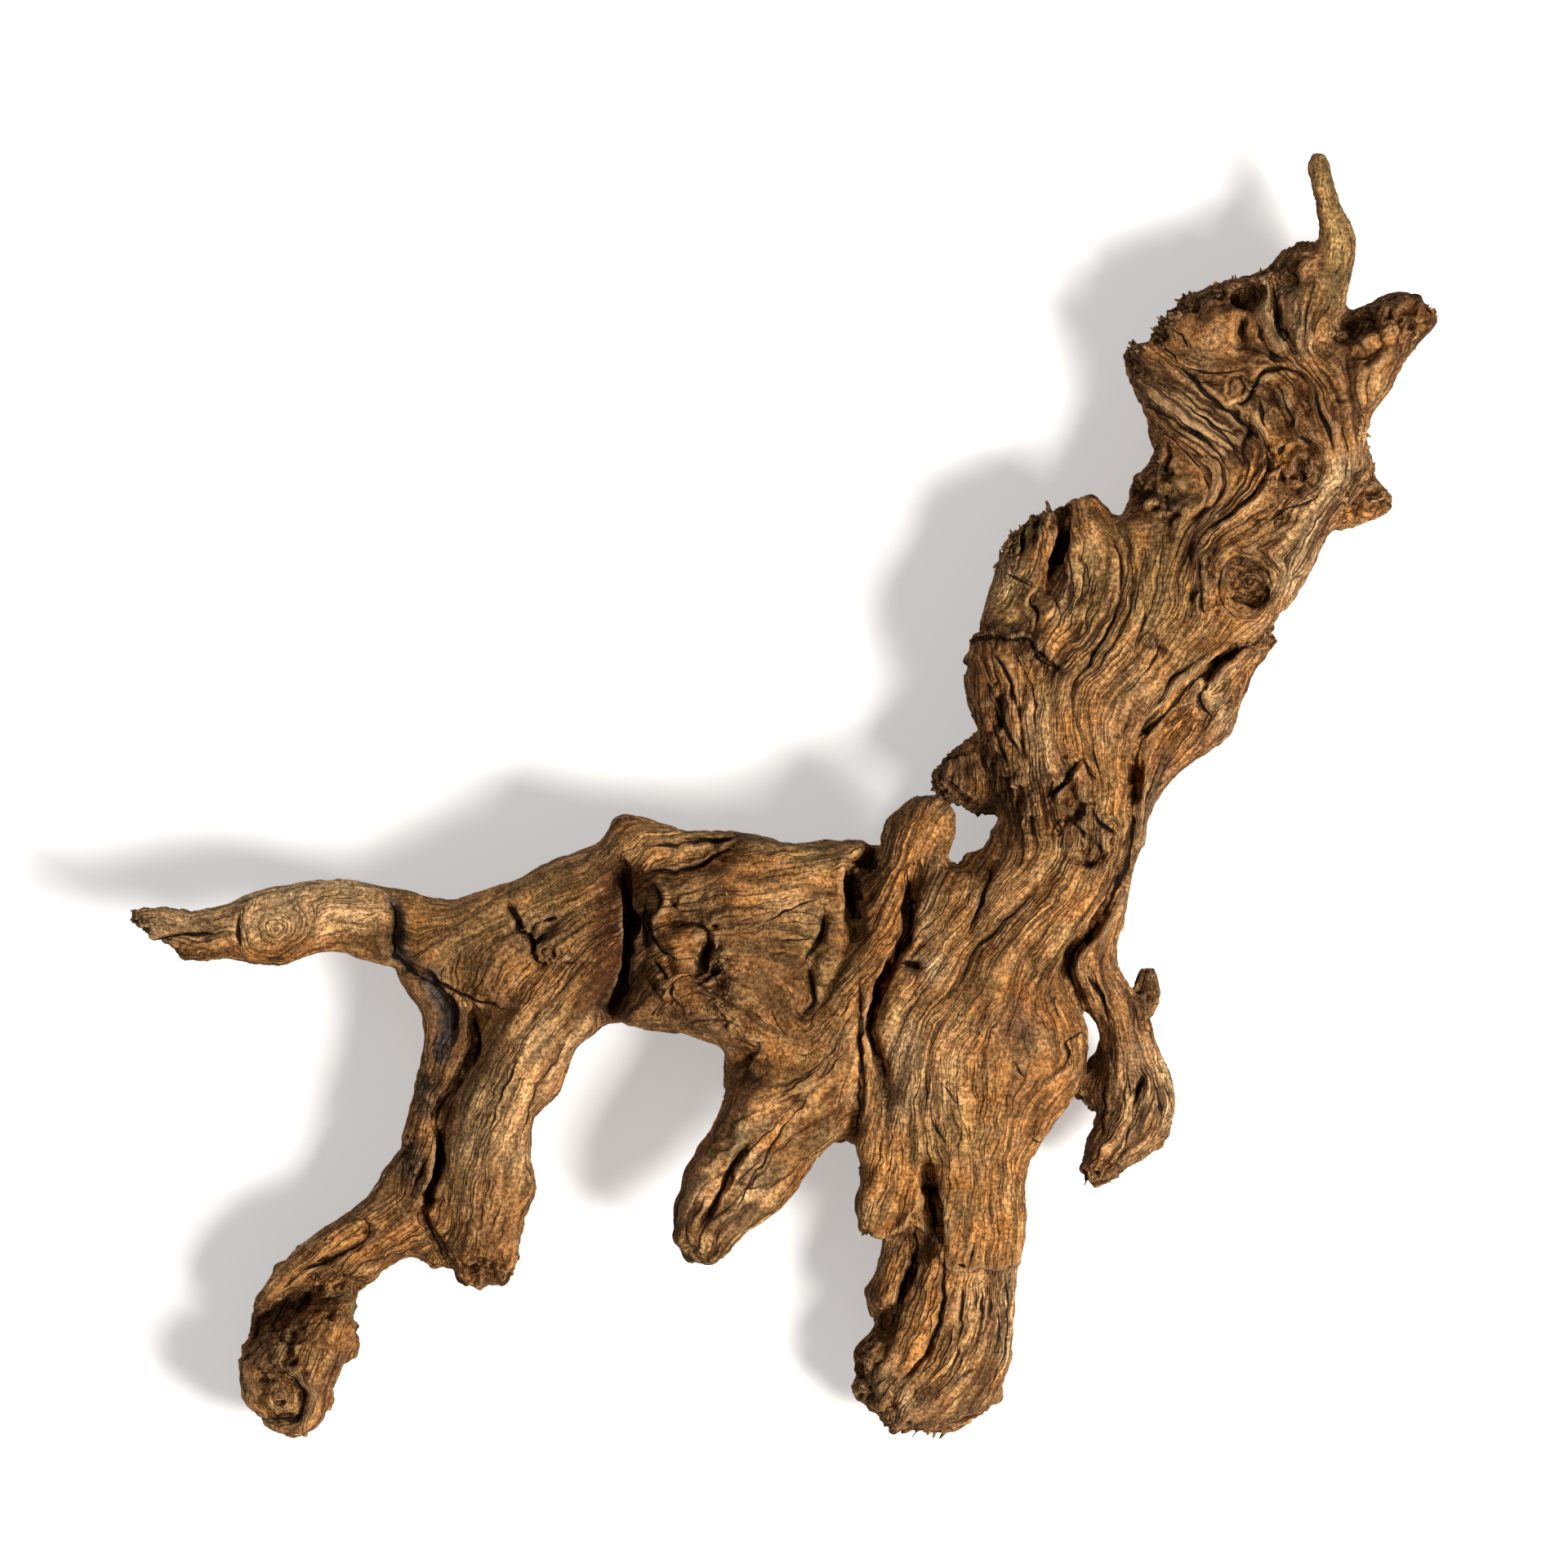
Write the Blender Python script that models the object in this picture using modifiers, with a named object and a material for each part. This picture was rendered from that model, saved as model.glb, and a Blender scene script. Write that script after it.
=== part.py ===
"""Piece of driftwood: one solid of weathered root wood, lying on its back.

The wood is drawn from above, as it lies. X runs to the right of the drawing, Y up the drawing and Z up from
the surface it rests on. The drawing's own units are turned into metres by one driving dimension, SPAN.
Each root, limb and knob is a strand: a loft through stations, and every station gives the strand's two edges
on the drawing, the height of its middle and half its thickness. The strands are fused by a voxel remesh,
the furrows, hollows and knots are carved into the fused surface, and the result is thinned to few faces.
"""

import bpy
import bmesh
import numpy as np

# Driving dimensions, in metres
SPAN = 0.480  # across the whole piece, from the tip of the left arm to the end of the right stub
FUSE_VOXEL = 0.0013  # grid on which the strands are fused
FOOT_FLAT = 0.0016  # how much the shallowest of the three low points is worn flat
DEEPER = 1.5  # the strands are this much thicker behind their middle than in front of it
GROWTH = 1.2  # drawing units added to every edge, to make up for the smoothing
ARCH_RISE = 36  # how far the middle of the wood arches off the surface, in drawing units
ARCH_CENTRE = (1150, 1150)
ARCH_REACH = 270
LOW_POINTS = [(352, 1700), (1160, 1640), (1542, 475)]  # where it rests: the foot, the leg's end and the crown
LOW_POINT_REACH = 50

# The drawing
DRAWN_SPAN = 1599.0  # SPAN in drawing units
DRAWN_HEIGHT = 1920.0  # drawing y runs down from here
UNIT = SPAN / DRAWN_SPAN

# Mesh detail
STRAND_SIDES = 22
STEPS_PER_STATION = 5
FACES_WANTED = 11000
SMOOTH_ROUNDS = 5
NOISE_SEED = 11

WOOD_COLOUR = (0.33, 0.19, 0.085, 1.0)
WOOD_ROUGHNESS = 0.85

# Strands. A station is (x, y) of one edge, (x, y) of the other edge, height of the middle, half thickness.
STRANDS = {
    "body": [
        (500, 1104, 488, 1178, -4, 40), (560, 1102, 530, 1238, -4, 50), (620, 1080, 600, 1262, -2, 56),
        (690, 1053, 690, 1275, 0, 60), (733, 1037, 722, 1262, 0, 62),
        (760, 1002, 756, 1253, 0, 64), (830, 1015, 815, 1262, 0, 66),
        (900, 1017, 888, 1282, 0, 66), (970, 1030, 958, 1330, 0, 66), (1050, 1032, 1050, 1378, 0, 66),
        (1130, 1062, 1140, 1390, 0, 62),
    ],
    "left_arm": [
        (163, 1112, 161, 1130, 50, 7), (184, 1110, 189, 1149, 48, 15), (213, 1112, 211, 1158, 44, 19), (240, 1112, 236, 1177, 38, 22),
        (290, 1101, 292, 1178, 28, 29), (335, 1088, 335, 1179, 20, 37), (385, 1080, 385, 1167, 12, 38),
        (430, 1075, 420, 1160, 6, 38), (472, 1086, 452, 1173, 2, 40), (507, 1094, 488, 1180, 0, 42),
        (560, 1108, 520, 1205, -2, 40),
    ],
    "hip": [
        (505, 1100, 490, 1178, 6, 36), (548, 1106, 530, 1200, 10, 44), (600, 1100, 590, 1222, 12, 48),
        (650, 1090, 640, 1235, 12, 46), (700, 1085, 700, 1240, 8, 44),
    ],
    "back_ridge": [
        (560, 1101, 575, 1140, 14, 26), (620, 1078, 640, 1130, 22, 32), (690, 1051, 710, 1110, 26, 36),
        (736, 1034, 752, 1090, 28, 38), (763, 999, 790, 1062, 26, 38), (830, 1015, 850, 1060, 22, 36),
        (900, 1017, 910, 1065, 20, 36), (980, 1031, 975, 1085, 22, 38), (1050, 1031, 1040, 1090, 18, 38),
        (1090, 1040, 1080, 1100, 14, 34),
    ],
    "hump": [
        (800, 1066, 786, 1130, 24, 44), (835, 1058, 815, 1236, 30, 52), (880, 1055, 872, 1266, 34, 52),
        (930, 1060, 925, 1285, 32, 46), (985, 1075, 975, 1275, 22, 40), (1035, 1095, 1020, 1240, 10, 38),
    ],
    "front_leg": [
        (600, 1190, 765, 1195, 4, 52), (586, 1250, 735, 1254, 8, 54), (578, 1300, 705, 1284, 8, 52),
        (560, 1335, 688, 1330, 6, 50), (545, 1385, 656, 1368, 2, 48), (542, 1425, 647, 1415, -2, 46),
        (535, 1462, 655, 1452, -6, 44), (538, 1500, 640, 1488, -10, 40), (550, 1540, 634, 1530, -16, 34),
        (560, 1564, 629, 1558, -20, 26), (568, 1575, 620, 1571, -22, 14),
    ],
    "front_leg_knob": [
        (620, 1440, 648, 1438, 4, 22), (616, 1455, 656, 1452, 2, 26), (614, 1472, 650, 1470, -2, 22),
        (616, 1490, 640, 1488, -8, 14),
    ],
    "rear_leg": [
        (476, 1140, 590, 1185, -10, 40), (495, 1208, 588, 1220, -12, 42), (520, 1242, 590, 1258, -12, 42),
        (515, 1295, 582, 1300, -12, 40), (504, 1342, 562, 1340, -12, 38), (499, 1385, 550, 1385, -12, 38),
        (494, 1420, 548, 1430, -12, 38), (488, 1460, 545, 1472, -14, 38), (500, 1505, 546, 1505, -16, 32),
        (520, 1545, 550, 1548, -18, 18),
    ],
    "shin": [
        (503, 1392, 560, 1500, -18, 40), (466, 1440, 532, 1543, -24, 42), (438, 1473, 500, 1538, -30, 42),
        (400, 1500, 466, 1560, -36, 40), (364, 1530, 438, 1591, -42, 38), (336, 1560, 432, 1612, -46, 36),
        (310, 1600, 425, 1645, -48, 34), (300, 1648, 410, 1680, -50, 32), (298, 1690, 400, 1705, -50, 28),
    ],
    "shin_band": [
        (452, 1480, 462, 1508, 4, 22), (425, 1487, 440, 1521, 2, 26), (395, 1504, 408, 1538, -4, 28),
        (357, 1536, 372, 1560, -10, 28), (333, 1563, 350, 1578, -16, 26), (308, 1594, 330, 1604, -24, 22),
        (304, 1612, 314, 1620, -30, 12),
    ],
    "foot": [
        (392, 1594, 433, 1602, -12, 26), (352, 1620, 430, 1640, -12, 38), (312, 1648, 420, 1668, -12, 46),
        (296, 1682, 404, 1700, -14, 52), (298, 1718, 403, 1724, -20, 50), (314, 1739, 390, 1748, -30, 40),
        (343, 1757, 374, 1760, -36, 18),
    ],
    "foot_side": [
        (418, 1630, 432, 1632, -28, 14), (414, 1648, 433, 1650, -30, 16), (404, 1664, 422, 1668, -30, 12),
    ],
    "foot_tooth": [(295, 1651, 312, 1643, -24, 12), (295, 1664, 316, 1664, -24, 18), (297, 1680, 320, 1684, -26, 14)],
    "middle_leg": [
        (965, 1180, 1085, 1230, -2, 56), (935, 1250, 1062, 1325, 0, 56), (906, 1310, 1030, 1388, 6, 54),
        (884, 1363, 1003, 1412, 12, 50), (857, 1405, 984, 1443, 18, 48), (837, 1448, 960, 1474, 22, 46),
        (824, 1485, 927, 1500, 24, 42), (824, 1515, 904, 1520, 24, 34), (840, 1538, 886, 1540, 24, 18),
    ],
    "middle_leg_crest": [
        (945, 1290, 1010, 1330, 28, 30), (905, 1345, 975, 1385, 34, 30), (866, 1400, 935, 1430, 40, 30),
        (842, 1450, 905, 1472, 42, 30), (830, 1492, 885, 1506, 40, 26), (840, 1526, 872, 1532, 34, 18),
    ],
    "crotch": [
        (893, 1276, 960, 1262, -10, 42), (888, 1304, 965, 1310, -12, 42), (893, 1334, 960, 1350, -12, 36),
    ],
    "web": [
        (950, 1335, 1090, 1335, -12, 44), (985, 1372, 1088, 1372, -12, 38), (1008, 1391, 1070, 1389, -12, 24),
    ],
    "sinew": [
        (1108, 982, 1146, 980, 26, 24), (1088, 1008, 1150, 1008, 30, 32), (1079, 1045, 1122, 1048, 36, 34),
        (1062, 1095, 1113, 1098, 42, 34), (1048, 1145, 1104, 1155, 44, 34), (1025, 1195, 1086, 1206, 42, 34),
        (1003, 1245, 1068, 1257, 38, 34), (975, 1295, 1050, 1312, 32, 34), (935, 1342, 1015, 1366, 26, 32),
    ],
    "sinew_inner": [
        (1060, 1195, 1088, 1200, 24, 28), (1048, 1245, 1070, 1250, 28, 30), (1044, 1300, 1078, 1305, 28, 32),
        (1044, 1345, 1088, 1350, 24, 32), (1050, 1385, 1100, 1390, 20, 32),
    ],
    "sinew_knob": [
        (1142, 972, 1160, 974, 20, 14), (1138, 990, 1170, 992, 22, 20), (1136, 1015, 1171, 1015, 22, 22),
        (1130, 1040, 1165, 1038, 20, 22), (1125, 1065, 1150, 1064, 16, 22),
    ],
    "neck_sheet": [
        (1126, 1052, 1160, 1056, 18, 30), (1118, 1090, 1190, 1066, 22, 38), (1114, 1130, 1215, 1090, 26, 44),
        (1106, 1170, 1240, 1140, 28, 48), (1092, 1220, 1260, 1200, 28, 50), (1080, 1290, 1260, 1270, 26, 48),
    ],
    "trunk_low": [
        (1235, 905, 1388, 880, 8, 66), (1232, 962, 1384, 945, 8, 66), (1219, 1012, 1380, 1005, 8, 66),
        (1195, 1052, 1373, 1050, 8, 68), (1150, 1090, 1352, 1108, 8, 70), (1116, 1150, 1312, 1160, 10, 72),
        (1092, 1220, 1312, 1212, 12, 74), (1074, 1280, 1335, 1272, 12, 72), (1056, 1350, 1320, 1340, 10, 68),
        (1052, 1395, 1275, 1395, 8, 62), (1088, 1450, 1257, 1450, 6, 56), (1096, 1520, 1252, 1520, 0, 52),
        (1082, 1590, 1246, 1590, -8, 52), (1062, 1650, 1237, 1645, -14, 52), (1056, 1698, 1229, 1698, -20, 50),
        (1068, 1733, 1207, 1735, -26, 42), (1088, 1750, 1172, 1752, -30, 22),
    ],
    "belly": [
        (1150, 1195, 1300, 1195, 34, 40), (1135, 1250, 1322, 1250, 40, 42), (1130, 1300, 1326, 1300, 38, 42),
        (1150, 1350, 1298, 1350, 30, 40), (1165, 1400, 1262, 1400, 22, 38), (1165, 1460, 1256, 1460, 16, 38),
    ],
    "shin_plate": [
        (1145, 1430, 1258, 1440, 22, 34), (1148, 1490, 1255, 1490, 20, 36), (1150, 1535, 1254, 1535, 16, 38),
        (1152, 1560, 1248, 1560, 8, 36),
    ],
    "flap": [
        (1046, 1385, 1125, 1380, 20, 30), (1054, 1432, 1118, 1432, 20, 28), (1049, 1475, 1100, 1480, 16, 24),
        (1048, 1500, 1084, 1502, 12, 16), (1054, 1514, 1076, 1515, 10, 8),
    ],
    "flake": [
        (1084, 1490, 1130, 1490, -8, 26), (1074, 1550, 1118, 1550, -10, 28), (1060, 1582, 1106, 1588, -14, 26),
        (1065, 1610, 1098, 1614, -16, 16),
    ],
    "heel": [
        (1062, 1638, 1110, 1643, -18, 30), (1048, 1655, 1110, 1660, -22, 34), (1053, 1688, 1110, 1690, -26, 36),
        (1048, 1708, 1100, 1710, -32, 30), (1072, 1742, 1120, 1744, -38, 20),
    ],
    "trunk_high": [
        (1222, 960, 1386, 930, 6, 64), (1203, 890, 1402, 885, 6, 68), (1190, 832, 1462, 835, 6, 70),
        (1195, 780, 1535, 788, 6, 72), (1235, 715, 1572, 745, 6, 72), (1300, 665, 1598, 705, 6, 70),
        (1362, 638, 1630, 650, 6, 68), (1398, 598, 1660, 602, 6, 66), (1418, 540, 1672, 548, 6, 66),
        (1395, 480, 1680, 505, 2, 62), (1390, 435, 1690, 465, -2, 56), (1426, 395, 1668, 420, -6, 48),
        (1466, 356, 1650, 375, -8, 38), (1540, 335, 1640, 338, -8, 30), (1584, 301, 1624, 301, -4, 16),
    ],
    "side_lobe": [
        (1203, 895, 1300, 890, 14, 50), (1184, 825, 1320, 812, 20, 56), (1192, 772, 1350, 752, 22, 56),
        (1221, 705, 1376, 690, 20, 50), (1230, 664, 1372, 652, 16, 40), (1250, 642, 1364, 628, 12, 28),
        (1306, 610, 1350, 604, 8, 14),
    ],
    "side_lobe_rim": [
        (1304, 640, 1366, 640, 26, 26), (1318, 680, 1378, 684, 34, 28), (1308, 730, 1376, 738, 36, 28),
        (1296, 780, 1352, 790, 30, 28),
    ],
    "ankle_of_lobe": [
        (1188, 790, 1240, 786, 24, 34), (1185, 830, 1246, 828, 26, 36), (1200, 880, 1262, 876, 22, 36),
        (1212, 930, 1272, 928, 14, 34), (1226, 985, 1276, 985, 6, 32),
    ],
    "slab": [
        (1379, 439, 1427, 410, 8, 30), (1390, 474, 1462, 436, 20, 42), (1412, 512, 1500, 476, 24, 46),
        (1420, 552, 1540, 530, 24, 48), (1440, 600, 1560, 590, 22, 46), (1420, 640, 1540, 650, 20, 44),
    ],
    "slab_edge": [
        (1372, 434, 1398, 420, -4, 22), (1384, 466, 1410, 450, -4, 30), (1402, 498, 1430, 490, -6, 34),
        (1414, 545, 1440, 540, -8, 34),
    ],
    "crown": [
        (1473, 358, 1602, 335, 16, 26), (1434, 376, 1610, 380, 20, 34), (1430, 410, 1620, 430, 22, 40),
        (1450, 450, 1640, 480, 24, 44), (1500, 500, 1660, 530, 24, 46), (1540, 570, 1660, 590, 22, 48),
        (1530, 640, 1630, 645, 20, 46), (1500, 700, 1596, 700, 18, 44), (1490, 745, 1566, 750, 14, 40),
    ],
    "crown_ridge": [
        (1544, 332, 1564, 334, 26, 16), (1548, 370, 1570, 368, 34, 22), (1552, 405, 1580, 398, 38, 24),
        (1566, 432, 1600, 420, 38, 24), (1600, 458, 1640, 440, 32, 24),
    ],
    "crown_knob": [
        (1582, 302, 1612, 297, 14, 18), (1578, 330, 1625, 325, 22, 28), (1576, 375, 1632, 372, 26, 30),
        (1590, 420, 1640, 412, 24, 30),
    ],
    "low_knob": [
        (1394, 577, 1430, 566, 0, 22), (1382, 598, 1440, 590, 2, 30), (1384, 628, 1440, 640, 2, 30),
    ],
    "stub": [
        (1600, 425, 1660, 530, 2, 54), (1649, 384, 1696, 482, 8, 44), (1685, 370, 1716, 448, 16, 37),
        (1716, 358, 1742, 414, 26, 30), (1741, 364, 1758, 397, 34, 18),
    ],
    "side_knob": [
        (1640, 570, 1618, 650, -22, 32), (1674, 577, 1660, 641, -28, 28), (1693, 587, 1688, 632, -34, 20),
        (1705, 605, 1704, 622, -38, 8),
    ],
    "side_tooth": [(1650, 545, 1652, 585, -6, 20), (1675, 548, 1675, 580, -8, 14), (1686, 560, 1686, 574, -8, 6)],
    "twig": [
        (1602, 187, 1621, 186, 66, 7), (1599, 205, 1629, 202, 62, 12), (1606, 235, 1636, 230, 52, 14),
        (1612, 262, 1648, 256, 40, 17), (1614, 285, 1662, 281, 30, 21), (1612, 312, 1661, 312, 22, 21),
        (1608, 348, 1653, 352, 14, 21), (1600, 390, 1650, 398, 12, 24), (1592, 430, 1650, 435, 8, 26),
    ],
    "fin": [
        (1530, 768, 1566, 776, -20, 12), (1492, 800, 1541, 814, -22, 24), (1445, 842, 1519, 864, -24, 30),
        (1405, 880, 1508, 898, -26, 34), (1384, 925, 1449, 943, -26, 34), (1378, 980, 1413, 986, -26, 32),
        (1370, 1040, 1392, 1042, -24, 28), (1350, 1095, 1379, 1104, -18, 28), (1322, 1142, 1368, 1148, -8, 30),
        (1309, 1184, 1368, 1178, 0, 32), (1322, 1222, 1388, 1212, 2, 30), (1347, 1258, 1408, 1252, -2, 30),
        (1352, 1310, 1429, 1302, -8, 32), (1348, 1360, 1438, 1352, -18, 32), (1334, 1400, 1426, 1398, -28, 28),
        (1326, 1428, 1386, 1430, -36, 20), (1327, 1449, 1356, 1455, -42, 10),
    ],
    "root_crest": [
        (1316, 1160, 1350, 1150, 22, 22), (1312, 1190, 1350, 1184, 26, 24), (1330, 1225, 1366, 1216, 24, 24),
        (1362, 1262, 1392, 1254, 18, 24), (1376, 1310, 1410, 1304, 10, 24), (1376, 1358, 1412, 1354, 0, 24),
        (1356, 1398, 1392, 1400, -12, 20),
    ],
    "cross_stub": [
        (1400, 1184, 1412, 1184, -40, 8), (1386, 1214, 1419, 1221, -42, 14), (1364, 1250, 1402, 1264, -44, 18),
        (1340, 1292, 1384, 1308, -44, 22), (1318, 1318, 1362, 1342, -42, 22), (1314, 1332, 1344, 1356, -36, 16),
    ],
    "trunk_shoulder": [
        (1507, 744, 1543, 786, 28, 28), (1443, 799, 1479, 841, 32, 32), (1389, 856, 1425, 884, 34, 34),
        (1352, 935, 1386, 943, 32, 34), (1336, 1008, 1381, 1014, 30, 34), (1318, 1070, 1362, 1090, 26, 34),
        (1286, 1130, 1318, 1158, 20, 32),
    ],
    "neck_knob": [
        (1236, 900, 1245, 1000, -20, 34), (1196, 899, 1205, 997, -24, 32), (1166, 919, 1172, 990, -26, 28),
        (1145, 942, 1147, 973, -26, 16),
    ],
    "neck_tooth": [
        (1180, 1038, 1182, 1056, 6, 8), (1196, 1040, 1192, 1070, 6, 16), (1220, 1030, 1215, 1075, 6, 24),
    ],
    "crown_fold": [
        (1596, 450, 1640, 440, 30, 26), (1604, 500, 1656, 500, 34, 28), (1590, 545, 1650, 560, 32, 30),
        (1552, 590, 1620, 620, 28, 28), (1530, 640, 1600, 664, 24, 28),
    ],
    "slab_fold": [
        (1398, 440, 1416, 424, 20, 22), (1440, 478, 1470, 446, 36, 26), (1490, 520, 1524, 486, 38, 28),
        (1512, 566, 1552, 556, 36, 28), (1486, 622, 1536, 634, 32, 26), (1436, 658, 1480, 690, 26, 24),
    ],
    "throat_fold": [
        (1396, 640, 1444, 640, 22, 24), (1404, 700, 1452, 704, 28, 26), (1392, 760, 1440, 776, 32, 28),
        (1352, 816, 1396, 842, 34, 30), (1318, 880, 1362, 896, 32, 30), (1290, 940, 1330, 950, 26, 28),
    ],
    "nape_fold": [
        (1196, 812, 1240, 806, 34, 24), (1224, 862, 1272, 856, 36, 28), (1242, 920, 1290, 914, 30, 28),
        (1252, 980, 1300, 976, 24, 28), (1238, 1040, 1290, 1050, 20, 28),
    ],
    "chest_fold": [
        (1262, 1010, 1322, 1062, 24, 26), (1226, 1056, 1282, 1108, 32, 30), (1186, 1112, 1240, 1156, 38, 32),
        (1150, 1176, 1206, 1208, 42, 32), (1126, 1248, 1184, 1262, 42, 32),
    ],
    "chest_fold_outer": [
        (1296, 1060, 1346, 1084, 22, 26), (1252, 1116, 1306, 1150, 32, 28), (1214, 1176, 1276, 1206, 40, 30),
        (1200, 1250, 1270, 1262, 44, 32),
    ],
    "shin_fold": [
        (1160, 1400, 1204, 1400, 34, 26), (1158, 1460, 1202, 1460, 30, 28), (1156, 1520, 1200, 1520, 26, 28),
        (1154, 1600, 1198, 1602, 14, 28), (1132, 1662, 1180, 1676, 4, 28), (1100, 1716, 1150, 1732, -10, 24),
    ],
    "spine_of_trunk": [
        (1460, 560, 1540, 600, -64, 20), (1370, 740, 1440, 770, -72, 26), (1280, 900, 1340, 910, -72, 28),
        (1250, 1060, 1320, 1070, -74, 28), (1170, 1210, 1250, 1230, -76, 28), (1140, 1400, 1200, 1400, -66, 26),
    ],
    "spine_of_body": [
        (530, 1130, 540, 1180, -34, 20), (700, 1130, 700, 1200, -58, 24), (850, 1120, 846, 1200, -70, 26),
        (1000, 1150, 985, 1230, -72, 26), (1130, 1220, 1110, 1290, -72, 26),
    ],
    "rib_behind": [
        (1230, 760, 1270, 780, -56, 26), (1300, 850, 1330, 870, -68, 26), (1350, 990, 1372, 990, -60, 26),
        (1330, 1120, 1290, 1110, -64, 26),
    ],
    "rest_under_foot": [
        (318, 1690, 392, 1640, -62, 28), (312, 1716, 396, 1700, -76, 38), (330, 1738, 385, 1730, -60, 26),
    ],
    "rest_under_leg": [
        (1110, 1560, 1210, 1560, -58, 26), (1106, 1624, 1212, 1624, -82, 38), (1112, 1684, 1206, 1684, -66, 30),
    ],
    "rest_under_crown": [
        (1480, 400, 1600, 385, -50, 26), (1476, 470, 1612, 470, -75, 38), (1490, 530, 1606, 530, -62, 32),
    ],
}

# Furrows: half width, depth, then the points of the line on the drawing. They are cut into the upper side.
FURROWS = [
    (6, 16, [(486, 1100), (482, 1140), (492, 1178), (515, 1194), (545, 1203), (580, 1222), (612, 1234), (628, 1236)]),
    (9, 12, [(506, 1192), (530, 1213), (549, 1238), (545, 1268), (538, 1286)]),
    (7, 24, [(583, 1236), (581, 1265), (588, 1283), (578, 1303), (558, 1330), (540, 1362), (543, 1402), (539, 1434),
             (525, 1460), (519, 1480), (526, 1505), (547, 1546)]),
    (6, 18, [(622, 1110), (636, 1138), (650, 1156), (664, 1148), (676, 1130)]),
    (5, 14, [(654, 1158), (657, 1174), (676, 1181), (702, 1178)]),
    (18, 46, [(762, 1070), (768, 1100), (766, 1140), (766, 1180), (758, 1212), (746, 1230)]),
    (6, 24, [(772, 1062), (782, 1078), (779, 1098)]),
    (7, 26, [(788, 1108), (791, 1138), (800, 1158), (826, 1176)]),
    (16, 14, [(815, 1046), (850, 1042), (890, 1032)]),
    (5, 16, [(908, 1022), (898, 1042), (862, 1058), (820, 1066), (792, 1064)]),
    (6, 18, [(822, 1132), (850, 1128), (867, 1142), (864, 1166), (852, 1186)]),
    (7, 20, [(1010, 1118), (1008, 1146), (996, 1166), (984, 1182)]),
    (8, 22, [(994, 1182), (991, 1212), (986, 1236)]),
    (10, 36, [(1072, 1036), (1064, 1062), (1046, 1084), (1043, 1112), (1047, 1146)]),
    (6, 18, [(1040, 1156), (1022, 1192), (1002, 1228)]),
    (9, 34, [(1116, 1062), (1111, 1088), (1111, 1120), (1104, 1154), (1090, 1180), (1079, 1206), (1069, 1238),
             (1068, 1266), (1077, 1300), (1085, 1338)]),
    (5, 16, [(1094, 1170), (1110, 1180), (1126, 1191)]),
    (5, 16, [(1050, 1222), (1050, 1280), (1046, 1340), (1046, 1384)]),
    (4, 10, [(1288, 1066), (1262, 1092), (1234, 1120), (1200, 1150), (1180, 1182), (1168, 1206), (1150, 1222)]),
    (5, 12, [(1214, 1064), (1204, 1092), (1198, 1112), (1184, 1142)]),
    (6, 34, [(1556, 776), (1510, 794), (1480, 826), (1452, 858), (1410, 888), (1392, 920), (1385, 960), (1380, 1010),
             (1372, 1050), (1360, 1090), (1344, 1116), (1324, 1140), (1306, 1166), (1301, 1190), (1310, 1218),
             (1326, 1250), (1337, 1270)]),
    (4, 12, [(1490, 812), (1470, 846), (1474, 868), (1484, 884)]),
    (5, 18, [(1332, 1194), (1346, 1216), (1357, 1242)]),
    (4, 16, [(1396, 1306), (1391, 1334), (1387, 1362)]),
    (12, 44, [(1297, 612), (1302, 640), (1299, 672), (1290, 700), (1284, 720)]),
    (7, 20, [(1262, 628), (1262, 650), (1250, 672)]),
    (5, 14, [(1272, 718), (1262, 736), (1270, 756), (1262, 778)]),
    (4, 9, [(1278, 722), (1292, 742), (1300, 762)]),
    (4, 9, [(1350, 650), (1368, 678), (1372, 712), (1362, 752), (1344, 792), (1320, 822), (1310, 852), (1312, 892)]),
    (4, 9, [(1381, 664), (1384, 700), (1376, 742), (1362, 782), (1336, 818)]),
    (6, 16, [(1338, 948), (1318, 930), (1300, 946), (1282, 970)]),
    (5, 18, [(1560, 334), (1562, 370), (1565, 400), (1575, 424), (1592, 440)]),
    (4, 12, [(1538, 392), (1545, 418), (1562, 442)]),
    (7, 18, [(1515, 388), (1517, 404), (1518, 424)]),
    (5, 14, [(1430, 450), (1455, 468), (1480, 492), (1506, 505), (1530, 526), (1546, 548), (1550, 574)]),
    (5, 14, [(1430, 500), (1460, 528), (1490, 556), (1512, 574), (1514, 600), (1490, 630)]),
    (5, 12, [(1580, 580), (1560, 600), (1536, 634)]),
    (4, 12, [(1596, 476), (1612, 508), (1625, 544)]),
    (11, 38, [(1136, 1430), (1140, 1462), (1134, 1500), (1128, 1530)]),
    (6, 20, [(1116, 1530), (1110, 1566), (1098, 1602), (1084, 1630)]),
    (4, 10, [(1156, 1545), (1152, 1600), (1148, 1632), (1130, 1656), (1106, 1690)]),
    (5, 18, [(908, 1404), (896, 1434), (876, 1470), (858, 1502)]),
    (17, 42, [(432, 1588), (396, 1592), (366, 1604), (334, 1626), (306, 1650)]),
    (5, 16, [(444, 1486), (457, 1498), (442, 1520), (410, 1536), (372, 1556), (346, 1576), (322, 1602)]),
    (4, 10, [(350, 1672), (368, 1694), (372, 1722), (352, 1738), (320, 1734)]),
]

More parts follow.
